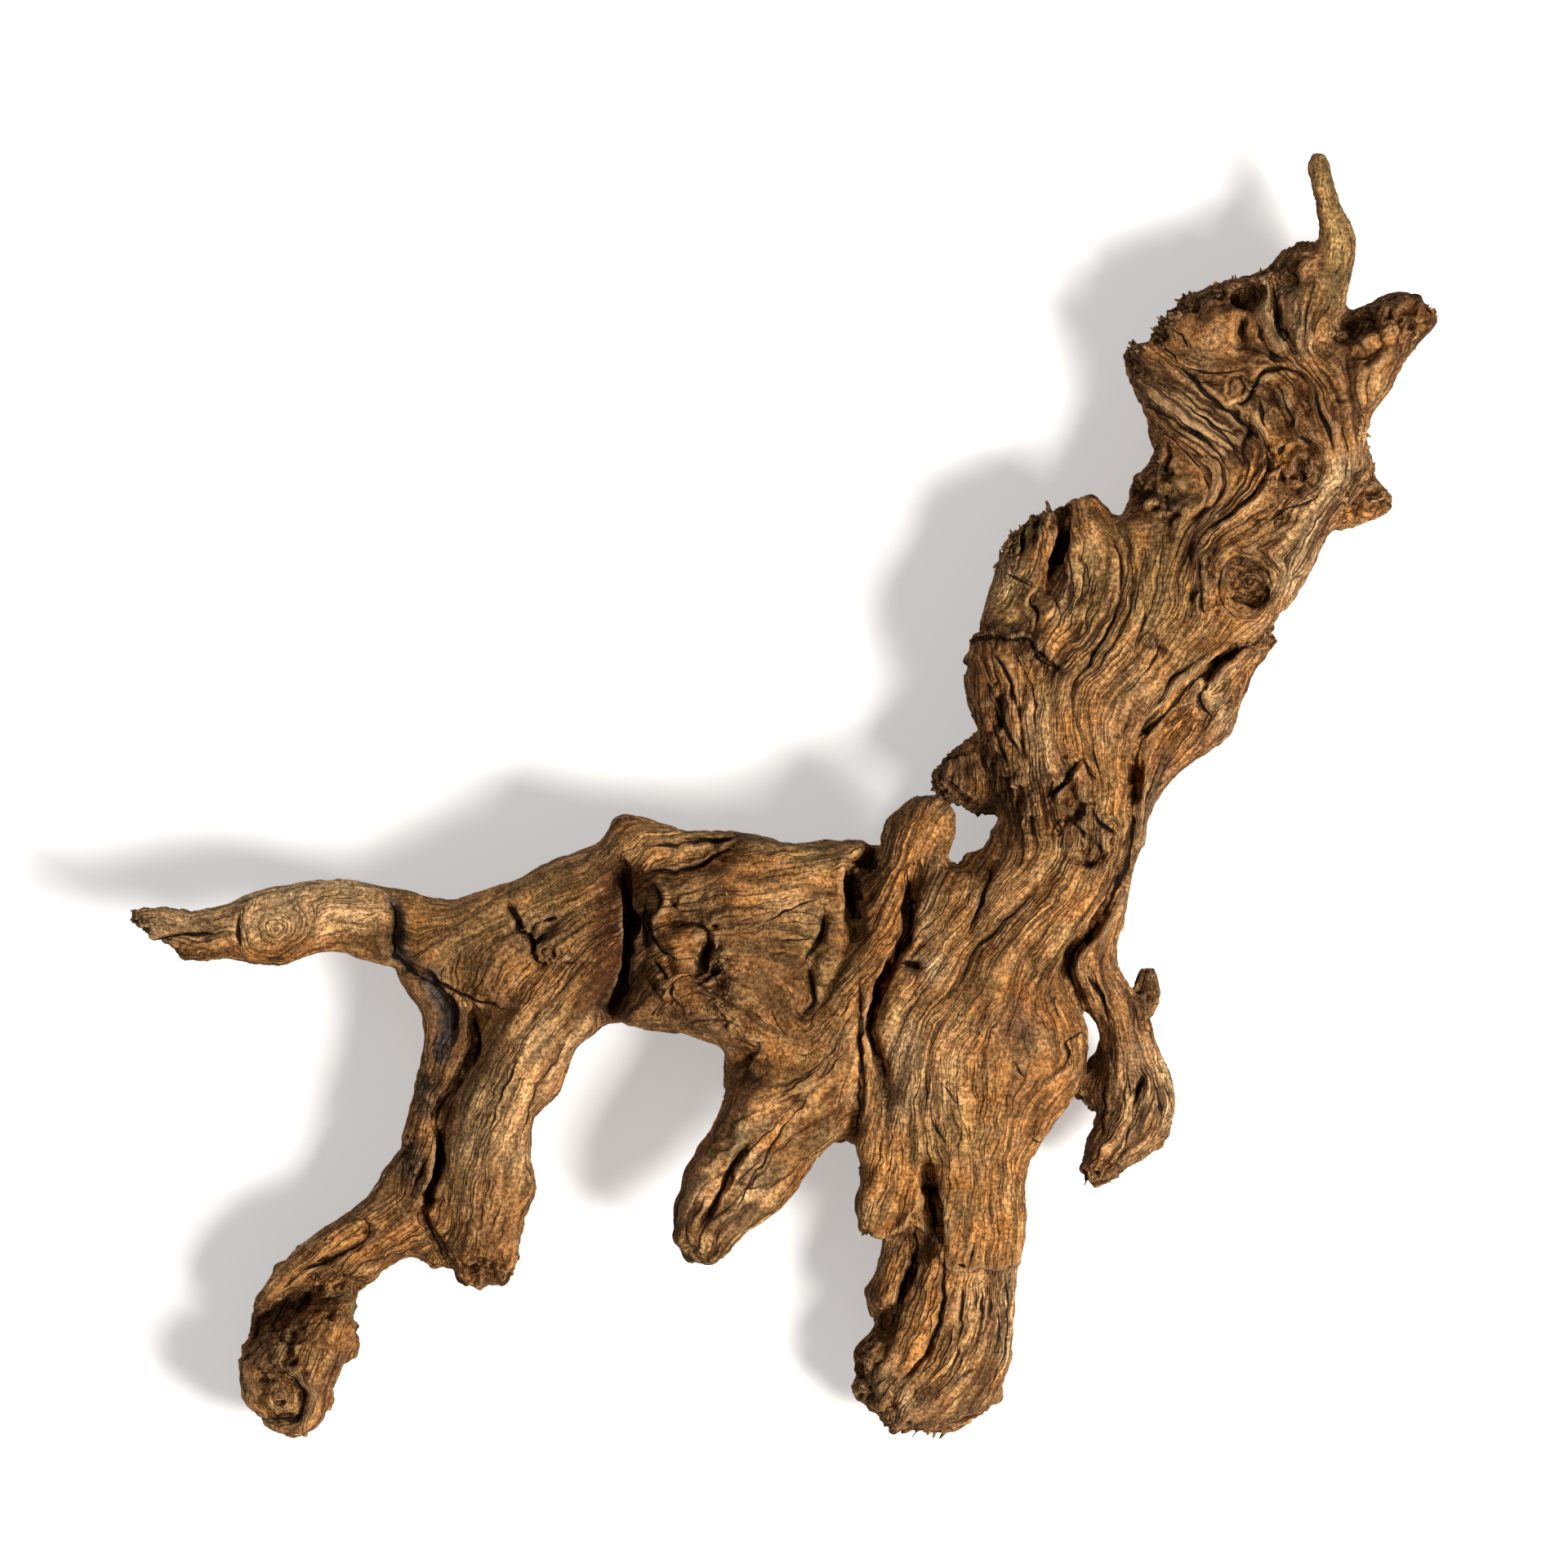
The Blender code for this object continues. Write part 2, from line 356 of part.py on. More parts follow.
# The same for the side that the wood lies on.
UNDER_FURROWS = [
    (10, 26, [(560, 1150), (640, 1190), (720, 1225), (800, 1230)]),
    (9, 22, [(760, 1090), (860, 1100), (960, 1110), (1050, 1160)]),
    (10, 26, [(1150, 1120), (1190, 1220), (1200, 1330), (1180, 1430), (1160, 1540)]),
    (9, 26, [(1350, 720), (1330, 820), (1290, 930), (1270, 1020)]),
    (9, 24, [(1540, 560), (1500, 680), (1430, 780), (1380, 900), (1340, 1010), (1310, 1110)]),
    (8, 20, [(620, 1260), (600, 1340), (590, 1430), (584, 1520)]),
    (8, 20, [(980, 1260), (930, 1360), (880, 1450)]),
    (8, 18, [(300, 1140), (370, 1120), (450, 1125)]),
    (8, 18, [(1440, 430), (1500, 560), (1480, 640)]),
]

# Hollows and knots: centre on the drawing, radius, depth. A negative depth raises a boss.
HOLLOWS = [
    (1530, 715, 52, -9), (1528, 716, 24, 22), (1322, 1040, 18, 20), (1530, 356, 16, 24), (1572, 340, 12, 16),
    (1590, 575, 26, -8), (1590, 578, 12, 12), (345, 1138, 30, -6), (1240, 735, 30, 14), (340, 1704, 30, -9),
    (350, 1700, 12, 8), (1650, 395, 20, 12), (1665, 420, 22, 10), (1700, 405, 16, -6), (1265, 822, 20, 12),
    (1080, 1622, 12, 20), (1326, 705, 34, 18), (640, 1112, 20, -6), (606, 1162, 26, -6), (690, 1156, 28, -6),
    (846, 1146, 26, -9), (850, 1150, 9, 14), (822, 1204, 24, -9), (862, 1222, 20, -8), (884, 1176, 14, 12),
    (816, 1098, 22, -7), (840, 1178, 12, 12), (1000, 1100, 40, 8), (930, 1120, 30, 7), (860, 1045, 30, 14),
    (1300, 985, 26, 14), (1345, 975, 18, -6), (1286, 1022, 18, -7), (1545, 455, 24, -8), (1500, 400, 26, -7),
    (1450, 415, 24, 8), (1610, 520, 20, -8), (1562, 520, 16, 10), (1640, 610, 16, 8), (1470, 690, 22, -7),
    (1420, 840, 26, 8), (1490, 850, 22, 10), (1244, 1232, 40, 7), (1130, 1340, 26, -7), (1215, 1500, 22, 8),
    (560, 1420, 22, -6), (610, 1400, 30, -6), (590, 1300, 26, 7), (640, 1250, 30, -6), (930, 1350, 22, -6),
]


def plan(x, y):
    """Drawing units to metres on the ground plan."""
    return np.array([x * UNIT, (DRAWN_HEIGHT - y) * UNIT])


def smooth_through(rows, steps):
    """Rows of numbers joined by a Catmull-Rom curve, with steps points for each stretch."""
    rows = np.asarray(rows, float)
    padded = np.vstack([2 * rows[0] - rows[1], rows, 2 * rows[-1] - rows[-2]])
    points = []
    for before, here, after, beyond in zip(padded, padded[1:], padded[2:], padded[3:]):
        for t in np.arange(steps) / steps:
            points.append(0.5 * (2 * here + (after - before) * t
                                 + (2 * before - 5 * here + 4 * after - beyond) * t**2
                                 + (3 * here - before - 3 * after + beyond) * t**3))
    return np.vstack([points, rows[-1]])


def strand_rings(stations):
    """The strand's cross-sections: ellipses between its two edges, each a loop of points in metres."""
    rows = smooth_through(stations, STEPS_PER_STATION)
    turn = np.arange(STRAND_SIDES) * 2 * np.pi / STRAND_SIDES
    rings = []
    for left_x, left_y, right_x, right_y, height, thickness in rows:
        left, right = plan(left_x, left_y), plan(right_x, right_y)
        across = (right - left) / 2
        across *= 1 + GROWTH * UNIT / max(np.linalg.norm(across), UNIT)
        middle = (left + right) / 2
        flat = middle + np.outer(np.cos(turn), across)
        rise = np.sin(turn) * np.where(np.sin(turn) < 0, DEEPER, 1.0)
        away = np.linalg.norm(middle - plan(*ARCH_CENTRE)) / (ARCH_REACH * UNIT)
        up = (height + ARCH_RISE * np.exp(-away**2 / 2) + max(thickness, 2.0) * rise) * UNIT
        rings.append(np.column_stack([flat, up]))
    return rings


def add_strand(mesh, stations):
    """Lofts one strand into the bmesh as a closed tube with rounded ends."""
    rings = strand_rings(stations)
    for end, inner in ((0, 1), (-1, -2)):
        centre = rings[end].mean(axis=0)
        outward = centre - rings[inner].mean(axis=0)
        outward /= max(np.linalg.norm(outward), 1e-9)
        reach = 0.35 * np.linalg.norm(rings[end] - centre, axis=1).min()
        cap = [(centre + (rings[end] - centre) * share + outward * reach * rise)
               for share, rise in ((0.85, 0.55), (0.5, 0.9))]
        rings = [cap[1], cap[0], *rings] if end == 0 else [*rings, cap[0], cap[1]]
    loops = [[mesh.verts.new(point) for point in ring] for ring in rings]
    for lower, upper in zip(loops, loops[1:]):
        for i in range(STRAND_SIDES):
            j = (i + 1) % STRAND_SIDES
            mesh.faces.new((lower[i], lower[j], upper[j], upper[i]))
    mesh.faces.new(loops[0][::-1])
    mesh.faces.new(loops[-1])


def loose_strands():
    """All strands as one object of overlapping closed tubes."""
    mesh = bmesh.new()
    for stations in STRANDS.values():
        add_strand(mesh, stations)
    bmesh.ops.recalc_face_normals(mesh, faces=mesh.faces)
    data = bpy.data.meshes.new("strands")
    mesh.to_mesh(data)
    mesh.free()
    return bpy.data.objects.new("driftwood", data)


def apply_modifiers(wood):
    """Replaces the object's mesh by its evaluated one and drops the modifiers."""
    bpy.context.view_layer.update()
    evaluated = wood.evaluated_get(bpy.context.evaluated_depsgraph_get())
    result = bpy.data.meshes.new_from_object(evaluated)
    wood.modifiers.clear()
    wood.data = result


def fuse(wood):
    """Voxel remesh: the strands become one skin, with the crotches between them filled a little."""
    remesh = wood.modifiers.new("fuse", "REMESH")
    remesh.mode = "VOXEL"
    remesh.voxel_size = FUSE_VOXEL
    relax = wood.modifiers.new("relax", "SMOOTH")
    relax.factor = 0.5
    relax.iterations = SMOOTH_ROUNDS
    apply_modifiers(wood)


def keep_largest_body(wood):
    """Drops loose scraps that the fusing left beside the main skin."""
    mesh = bmesh.new()
    mesh.from_mesh(wood.data)
    unseen = set(mesh.verts)
    bodies = []
    while unseen:
        stack = [unseen.pop()]
        body = set(stack)
        while stack:
            for edge in stack.pop().link_edges:
                for vert in edge.verts:
                    if vert in unseen:
                        unseen.discard(vert)
                        body.add(vert)
                        stack.append(vert)
        bodies.append(body)
    largest = max(bodies, key=len)
    scraps = [vert for body in bodies if body is not largest for vert in body]
    bmesh.ops.delete(mesh, geom=scraps, context="VERTS")
    mesh.to_mesh(wood.data)
    mesh.free()


def lattice_noise(points, seed):
    """Smooth noise between -1 and 1 at each point, from random values on the whole-number lattice."""
    cell = np.floor(points).astype(np.int64)
    part = points - cell
    ease = part * part * (3 - 2 * part)
    total = np.zeros(len(points))
    for corner in np.ndindex(2, 2, 2):
        at = cell + corner
        mixed = (at[:, 0] * 73856093) ^ (at[:, 1] * 19349663) ^ (at[:, 2] * 83492791) ^ (seed * 2654435761)
        mixed = (mixed ^ (mixed >> 13)) * 1274126177 & 0x7FFFFFFF
        value = (mixed ^ (mixed >> 16)) % 65536 / 32767.5 - 1
        weight = np.prod(np.where(corner, ease, 1 - ease), axis=1)
        total += value * weight
    return total


def distance_to_line(points, line):
    """Distance on the plan from each point to a line through the given drawing points."""
    corners = np.array([plan(x, y) for x, y in smooth_through(line, 3)])
    nearest = np.full(len(points), np.inf)
    for start, end in zip(corners, corners[1:]):
        along = end - start
        share = np.clip((points - start) @ along / max(along @ along, 1e-12), 0, 1)
        nearest = np.minimum(nearest, np.linalg.norm(points - start - share[:, None] * along, axis=1))
    return nearest


def furrow_depth(points, furrows):
    """How deep the deepest furrow is at each point of the plan."""
    depth = np.zeros(len(points))
    for half_width, cut, line in furrows:
        away = distance_to_line(points, line) / (half_width * UNIT)
        depth = np.maximum(depth, cut * UNIT * np.exp(-away**2))
    return depth


def carve(wood):
    """Cuts the furrows and hollows into the upper side, and gives the whole skin its weathered unevenness."""
    count = len(wood.data.vertices)
    points = np.empty(count * 3, np.float32)
    normals = np.empty(count * 3, np.float32)
    wood.data.vertices.foreach_get("co", points)
    wood.data.vertex_normals.foreach_get("vector", normals)
    points = points.reshape(-1, 3).astype(float)
    normals = normals.reshape(-1, 3).astype(float)
    facing_up = np.clip((normals[:, 2] + 0.05) / 0.5, 0, 1)
    facing_down = np.clip((-normals[:, 2] - 0.1) / 0.5, 0, 1)
    depth = furrow_depth(points[:, :2], FURROWS)
    for x, y, radius, cut in HOLLOWS:
        away = np.linalg.norm(points[:, :2] - plan(x, y), axis=1) / (radius * UNIT)
        depth += cut * UNIT * np.exp(-away**4)
    points[:, 2] += furrow_depth(points[:, :2], UNDER_FURROWS) * facing_down - depth * facing_up
    swell = (1.1e-3 * lattice_noise(points / 0.016, NOISE_SEED)
             + 0.6e-3 * lattice_noise(points / 0.007, NOISE_SEED + 1))
    points += normals * swell[:, None]
    wood.data.vertices.foreach_set("co", points.astype(np.float32).ravel())
    wood.data.update()


def thin_out(wood):
    """Collapses edges until the wanted number of triangles is left."""
    triangles = sum(len(face.vertices) - 2 for face in wood.data.polygons)
    decimate = wood.modifiers.new("thin", "DECIMATE")
    decimate.ratio = FACES_WANTED / triangles
    apply_modifiers(wood)


def set_down(wood):
    """Wears the lowest points flat and puts the origin under the middle of the wood, on the surface."""
    corners = np.array([vert.co for vert in wood.data.vertices])
    lowest = []
    for x, y in LOW_POINTS:
        near = np.linalg.norm(corners[:, :2] - plan(x, y), axis=1) < LOW_POINT_REACH * UNIT
        lowest.append(corners[near, 2].min())
    ground = max(lowest) + FOOT_FLAT
    mesh = bmesh.new()
    mesh.from_mesh(wood.data)
    bmesh.ops.bisect_plane(mesh, geom=[*mesh.verts, *mesh.edges, *mesh.faces], plane_co=(0, 0, ground),
                           plane_no=(0, 0, -1), clear_outer=True)
    bmesh.ops.holes_fill(mesh, edges=[edge for edge in mesh.edges if edge.is_boundary])
    bmesh.ops.triangulate(mesh, faces=mesh.faces)
    corners = np.array([vert.co for vert in mesh.verts])
    low, high = corners.min(axis=0), corners.max(axis=0)
    middle = (low + high) / 2
    bmesh.ops.translate(mesh, verts=mesh.verts, vec=(-middle[0], -middle[1], -ground))
    to_span = SPAN / (high[0] - low[0])
    bmesh.ops.scale(mesh, verts=mesh.verts, vec=(to_span, to_span, to_span))
    mesh.to_mesh(wood.data)
    mesh.free()


def wood_material():
    """Plain weathered brown for the solid."""
    material = bpy.data.materials.new("weathered_wood")
    material.use_nodes = True
    shader = material.node_tree.nodes["Principled BSDF"]
    shader.inputs["Base Color"].default_value = WOOD_COLOUR
    shader.inputs["Roughness"].default_value = WOOD_ROUGHNESS
    return material


def main():
    for old in list(bpy.data.objects):
        bpy.data.objects.remove(old)
    wood = loose_strands()
    collection = bpy.data.collections.new("piece_of_driftwood")
    bpy.context.scene.collection.children.link(collection)
    collection.objects.link(wood)
    fuse(wood)
    keep_largest_body(wood)
    carve(wood)
    thin_out(wood)
    set_down(wood)
    wood.data.shade_smooth()
    wood.data.materials.clear()
    wood.data.materials.append(wood_material())


main()
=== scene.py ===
"""Looks of one weathered piece of driftwood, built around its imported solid.

The solid gives the form. Here it is cut finer, its furrows, cracks, knots and worn hollows are carved along
the run of the grain, torn fibres are added, and the wood gets its colours. Drawing units are those of the
solid: x runs right and y runs down the drawing, and UNIT turns them into metres.
"""

import logging
from dataclasses import dataclass, field
from enum import Enum

import bmesh
import bpy
import numpy as np
from mathutils import Euler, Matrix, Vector

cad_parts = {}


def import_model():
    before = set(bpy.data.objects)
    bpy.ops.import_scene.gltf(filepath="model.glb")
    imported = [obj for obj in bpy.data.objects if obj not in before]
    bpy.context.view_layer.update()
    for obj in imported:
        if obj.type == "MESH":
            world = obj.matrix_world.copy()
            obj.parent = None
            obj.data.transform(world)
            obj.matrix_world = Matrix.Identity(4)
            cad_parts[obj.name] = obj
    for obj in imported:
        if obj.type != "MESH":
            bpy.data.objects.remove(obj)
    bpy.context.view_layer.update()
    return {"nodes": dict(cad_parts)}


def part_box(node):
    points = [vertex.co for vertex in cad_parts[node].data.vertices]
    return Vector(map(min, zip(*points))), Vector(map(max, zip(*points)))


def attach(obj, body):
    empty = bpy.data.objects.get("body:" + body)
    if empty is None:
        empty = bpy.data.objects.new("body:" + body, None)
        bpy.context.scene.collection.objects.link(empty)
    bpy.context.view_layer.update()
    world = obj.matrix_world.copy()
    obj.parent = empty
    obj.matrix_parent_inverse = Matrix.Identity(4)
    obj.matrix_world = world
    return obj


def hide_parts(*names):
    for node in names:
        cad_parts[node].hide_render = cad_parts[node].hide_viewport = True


log = logging.getLogger("driftwood")

Array = np.ndarray
Items = bpy.types.bpy_prop_collection
Socket = bpy.types.NodeSocket
Triple = tuple[float, float, float]
Colour = Triple
Span = tuple[float, ...]
Stroke = tuple[tuple[float, float], ...]
Patch = tuple[float, float, Stroke]

NODE = "driftwood"
SPAN = 0.480
DRAWN_SPAN = 1599.0
UNIT = SPAN / DRAWN_SPAN
DRAWN_MIDDLE = (959.5, 976.0)
DRAWN_SIDE = 1920.0

# Steps between the points of a curve, for places measured from it and for the grain that it marks
LINE_STEP = 6.0
MARK_STEP = 2.0


class Tone(Enum):
    """Colours that lie over the brown of the wood; some dark patches are painted shade and some pale ones
    painted light.
    """

    GREY = 0
    DARK = 1
    ORANGE = 2
    PALE = 3
    OLIVE = 4


@dataclass(frozen=True)
class Knot:
    """A knot: its middle and radius, the rise of its boss and the depth of the ring round it, as drawn."""

    x: float
    y: float
    radius: float
    boss: float
    ring: float

    def rings(self, x: Array, y: Array) -> Array:
        """Returns how far each place is from the knot's middle, in its radii, on uneven rings."""
        dx, dy = x - self.x, y - self.y
        turn = np.arctan2(dy, dx)
        phase = 0.7 * self.x
        uneven = 1 + 0.10 * np.sin(2 * turn + phase) + 0.05 * np.sin(3 * turn + 2 * phase)
        return np.hypot(dx, dy) * (uneven + 0.03 * np.sin(7 * turn - phase)) / self.radius


# The run of the grain, drawn from the crown down to the tips
GRAIN: tuple[Stroke, ...] = (
    ((1612, 190), (1618, 230), (1628, 262), (1638, 290), (1634, 330), (1622, 370), (1605, 400),
        (1600, 430), (1630, 460)),
    ((1550, 335), (1553, 370), (1558, 405), (1575, 432), (1605, 450), (1635, 470), (1650, 490)),
    ((1580, 310), (1582, 350), (1590, 390), (1600, 430)),
    ((1412, 405), (1430, 425), (1450, 440), (1475, 450), (1500, 452), (1535, 447)),
    ((1410, 470), (1440, 490), (1470, 515), (1500, 540), (1520, 550)),
    ((1402, 490), (1440, 520), (1470, 540), (1500, 565), (1508, 590), (1500, 620), (1480, 640),
        (1465, 660), (1463, 720)),
    ((1405, 505), (1430, 530), (1460, 548), (1490, 570), (1497, 600), (1488, 625), (1465, 650)),
    ((1430, 447), (1470, 480), (1505, 505), (1540, 540), (1547, 565), (1535, 600), (1515, 630),
        (1490, 650), (1470, 680)),
    ((1600, 480), (1612, 510), (1622, 540), (1640, 580)),
    ((1650, 500), (1658, 550), (1650, 600), (1620, 640), (1590, 680), (1570, 720), (1560, 750)),
    ((1620, 600), (1580, 640), (1555, 655), (1530, 665), (1500, 672), (1480, 690), (1475, 720),
        (1478, 750)),
    ((1745, 385), (1710, 410), (1680, 440), (1650, 470)),
    ((1730, 410), (1710, 440), (1685, 480), (1660, 520)), ((1700, 612), (1670, 608), (1640, 600)),
    ((1320, 620), (1335, 660), (1345, 700), (1345, 740), (1335, 780), (1310, 815)),
    ((1345, 640), (1360, 665), (1370, 700), (1365, 740), (1350, 780), (1325, 820), (1312, 840),
        (1310, 865), (1318, 890)),
    ((1370, 650), (1383, 690), (1380, 740), (1365, 785), (1340, 820), (1325, 835)),
    ((1400, 680), (1405, 730), (1395, 780), (1365, 830), (1345, 860), (1345, 890), (1355, 940)),
    ((1440, 760), (1420, 800), (1385, 850), (1375, 880), (1372, 920), (1370, 980), (1368, 1040)),
    ((1550, 770), (1500, 790), (1460, 815), (1440, 850), (1415, 880), (1390, 905), (1380, 950),
        (1378, 1010), (1370, 1060)),
    ((1200, 790), (1215, 840), (1235, 890), (1245, 940), (1260, 1000)),
    ((1225, 800), (1240, 860), (1255, 920), (1262, 960)),
    ((1195, 850), (1205, 900), (1225, 960), (1245, 1020)), ((1290, 850), (1290, 900), (1300, 930)),
    ((1310, 865), (1315, 900), (1325, 930)), ((1340, 850), (1350, 930), (1360, 1030)),
    ((1235, 690), (1222, 720), (1205, 760)),
    ((1560, 780), (1530, 800), (1490, 835), (1450, 880), (1410, 930), (1395, 980), (1385, 1040),
        (1370, 1100), (1355, 1140), (1345, 1165), (1350, 1190), (1375, 1230), (1390, 1270), (1400, 1320),
        (1395, 1370), (1370, 1410), (1345, 1445)),
    ((1540, 830), (1510, 880), (1460, 925), (1420, 960), (1400, 1000), (1388, 1060)),
    ((1320, 1200), (1335, 1225), (1350, 1255), (1355, 1350), (1345, 1400), (1335, 1440)),
    ((1375, 1210), (1400, 1260), (1420, 1310), (1430, 1350), (1410, 1400), (1375, 1425)),
    ((1370, 1040), (1340, 1100), (1300, 1150), (1260, 1200), (1225, 1260)),
    ((1287, 1068), (1270, 1090), (1240, 1115), (1205, 1148), (1185, 1175), (1172, 1205), (1155, 1220)),
    ((1213, 1062), (1203, 1090), (1195, 1115), (1183, 1140)),
    ((1180, 1210), (1150, 1250), (1140, 1290), (1135, 1340), (1150, 1400)),
    ((1100, 1230), (1095, 1290), (1095, 1350), (1095, 1400)),
    ((1250, 1190), (1245, 1230), (1225, 1270), (1215, 1330), (1205, 1400)),
    ((1310, 1180), (1315, 1220), (1330, 1250), (1330, 1290), (1315, 1330), (1280, 1370), (1262, 1400)),
    ((1270, 1230), (1290, 1270), (1290, 1310), (1260, 1350), (1240, 1400)),
    ((1150, 1310), (1160, 1340), (1180, 1365)),
    ((1155, 1400), (1165, 1450), (1165, 1560), (1160, 1620), (1140, 1670), (1110, 1720), (1090, 1750)),
    ((1200, 1400), (1205, 1480), (1205, 1560), (1200, 1620), (1180, 1670), (1150, 1710), (1120, 1750)),
    ((1245, 1440), (1245, 1520), (1240, 1580), (1235, 1640), (1220, 1690), (1180, 1730), (1140, 1755)),
    ((1110, 1500), (1095, 1560), (1085, 1610)),
    ((1130, 1560), (1120, 1610), (1095, 1660), (1070, 1700), (1070, 1740)),
    ((1090, 1400), (1085, 1450), (1075, 1490)),
    ((1130, 980), (1110, 1010), (1100, 1060), (1090, 1110), (1070, 1160), (1045, 1200), (1025, 1250),
        (1005, 1300), (975, 1350)),
    ((1060, 1200), (1050, 1260), (1052, 1320), (1055, 1380)), ((1130, 1060), (1130, 1120), (1120, 1180)),
    ((975, 1290), (940, 1340), (905, 1390), (870, 1440), (845, 1490), (840, 1530)),
    ((1000, 1310), (965, 1350), (930, 1400), (900, 1450), (870, 1500), (860, 1540)),
    ((1020, 1370), (990, 1400), (950, 1450), (915, 1490), (890, 1520)),
    ((940, 1290), (915, 1340), (880, 1390), (850, 1440), (832, 1490)),
    ((1060, 1060), (1000, 1060), (940, 1060), (880, 1055), (840, 1065)),
    ((1040, 1045), (960, 1035), (900, 1022), (830, 1018), (770, 1010), (735, 1045), (690, 1065),
        (640, 1085)),
    ((790, 1030), (750, 1060), (700, 1090), (660, 1110)), ((1030, 1100), (960, 1110), (900, 1130)),
    ((1010, 1150), (960, 1140), (905, 1150)), ((990, 1210), (950, 1180), (905, 1170)),
    ((960, 1265), (930, 1230), (900, 1200)),
    ((760, 1200), (720, 1240), (680, 1290), (640, 1350), (610, 1420), (590, 1500), (585, 1560)),
    ((700, 1190), (660, 1240), (620, 1300), (590, 1360), (570, 1430), (565, 1500), (570, 1560)),
    ((745, 1250), (705, 1280), (670, 1330), (645, 1380), (640, 1440), (625, 1500), (615, 1560)),
    ((490, 1110), (440, 1095), (400, 1095), (350, 1105), (300, 1115), (240, 1125), (175, 1120)),
    ((480, 1160), (430, 1140), (390, 1145), (340, 1165), (290, 1165), (240, 1165), (200, 1150)),
    ((510, 1200), (530, 1240), (530, 1290), (520, 1340), (515, 1390), (505, 1440), (500, 1480)),
    ((530, 1440), (490, 1480), (440, 1520), (390, 1560), (350, 1600), (310, 1640)),
    ((470, 1480), (430, 1505), (380, 1535), (340, 1565), (315, 1600)),
    ((540, 1510), (500, 1520), (450, 1550), (420, 1590), (400, 1630), (390, 1680), (380, 1740)),
)

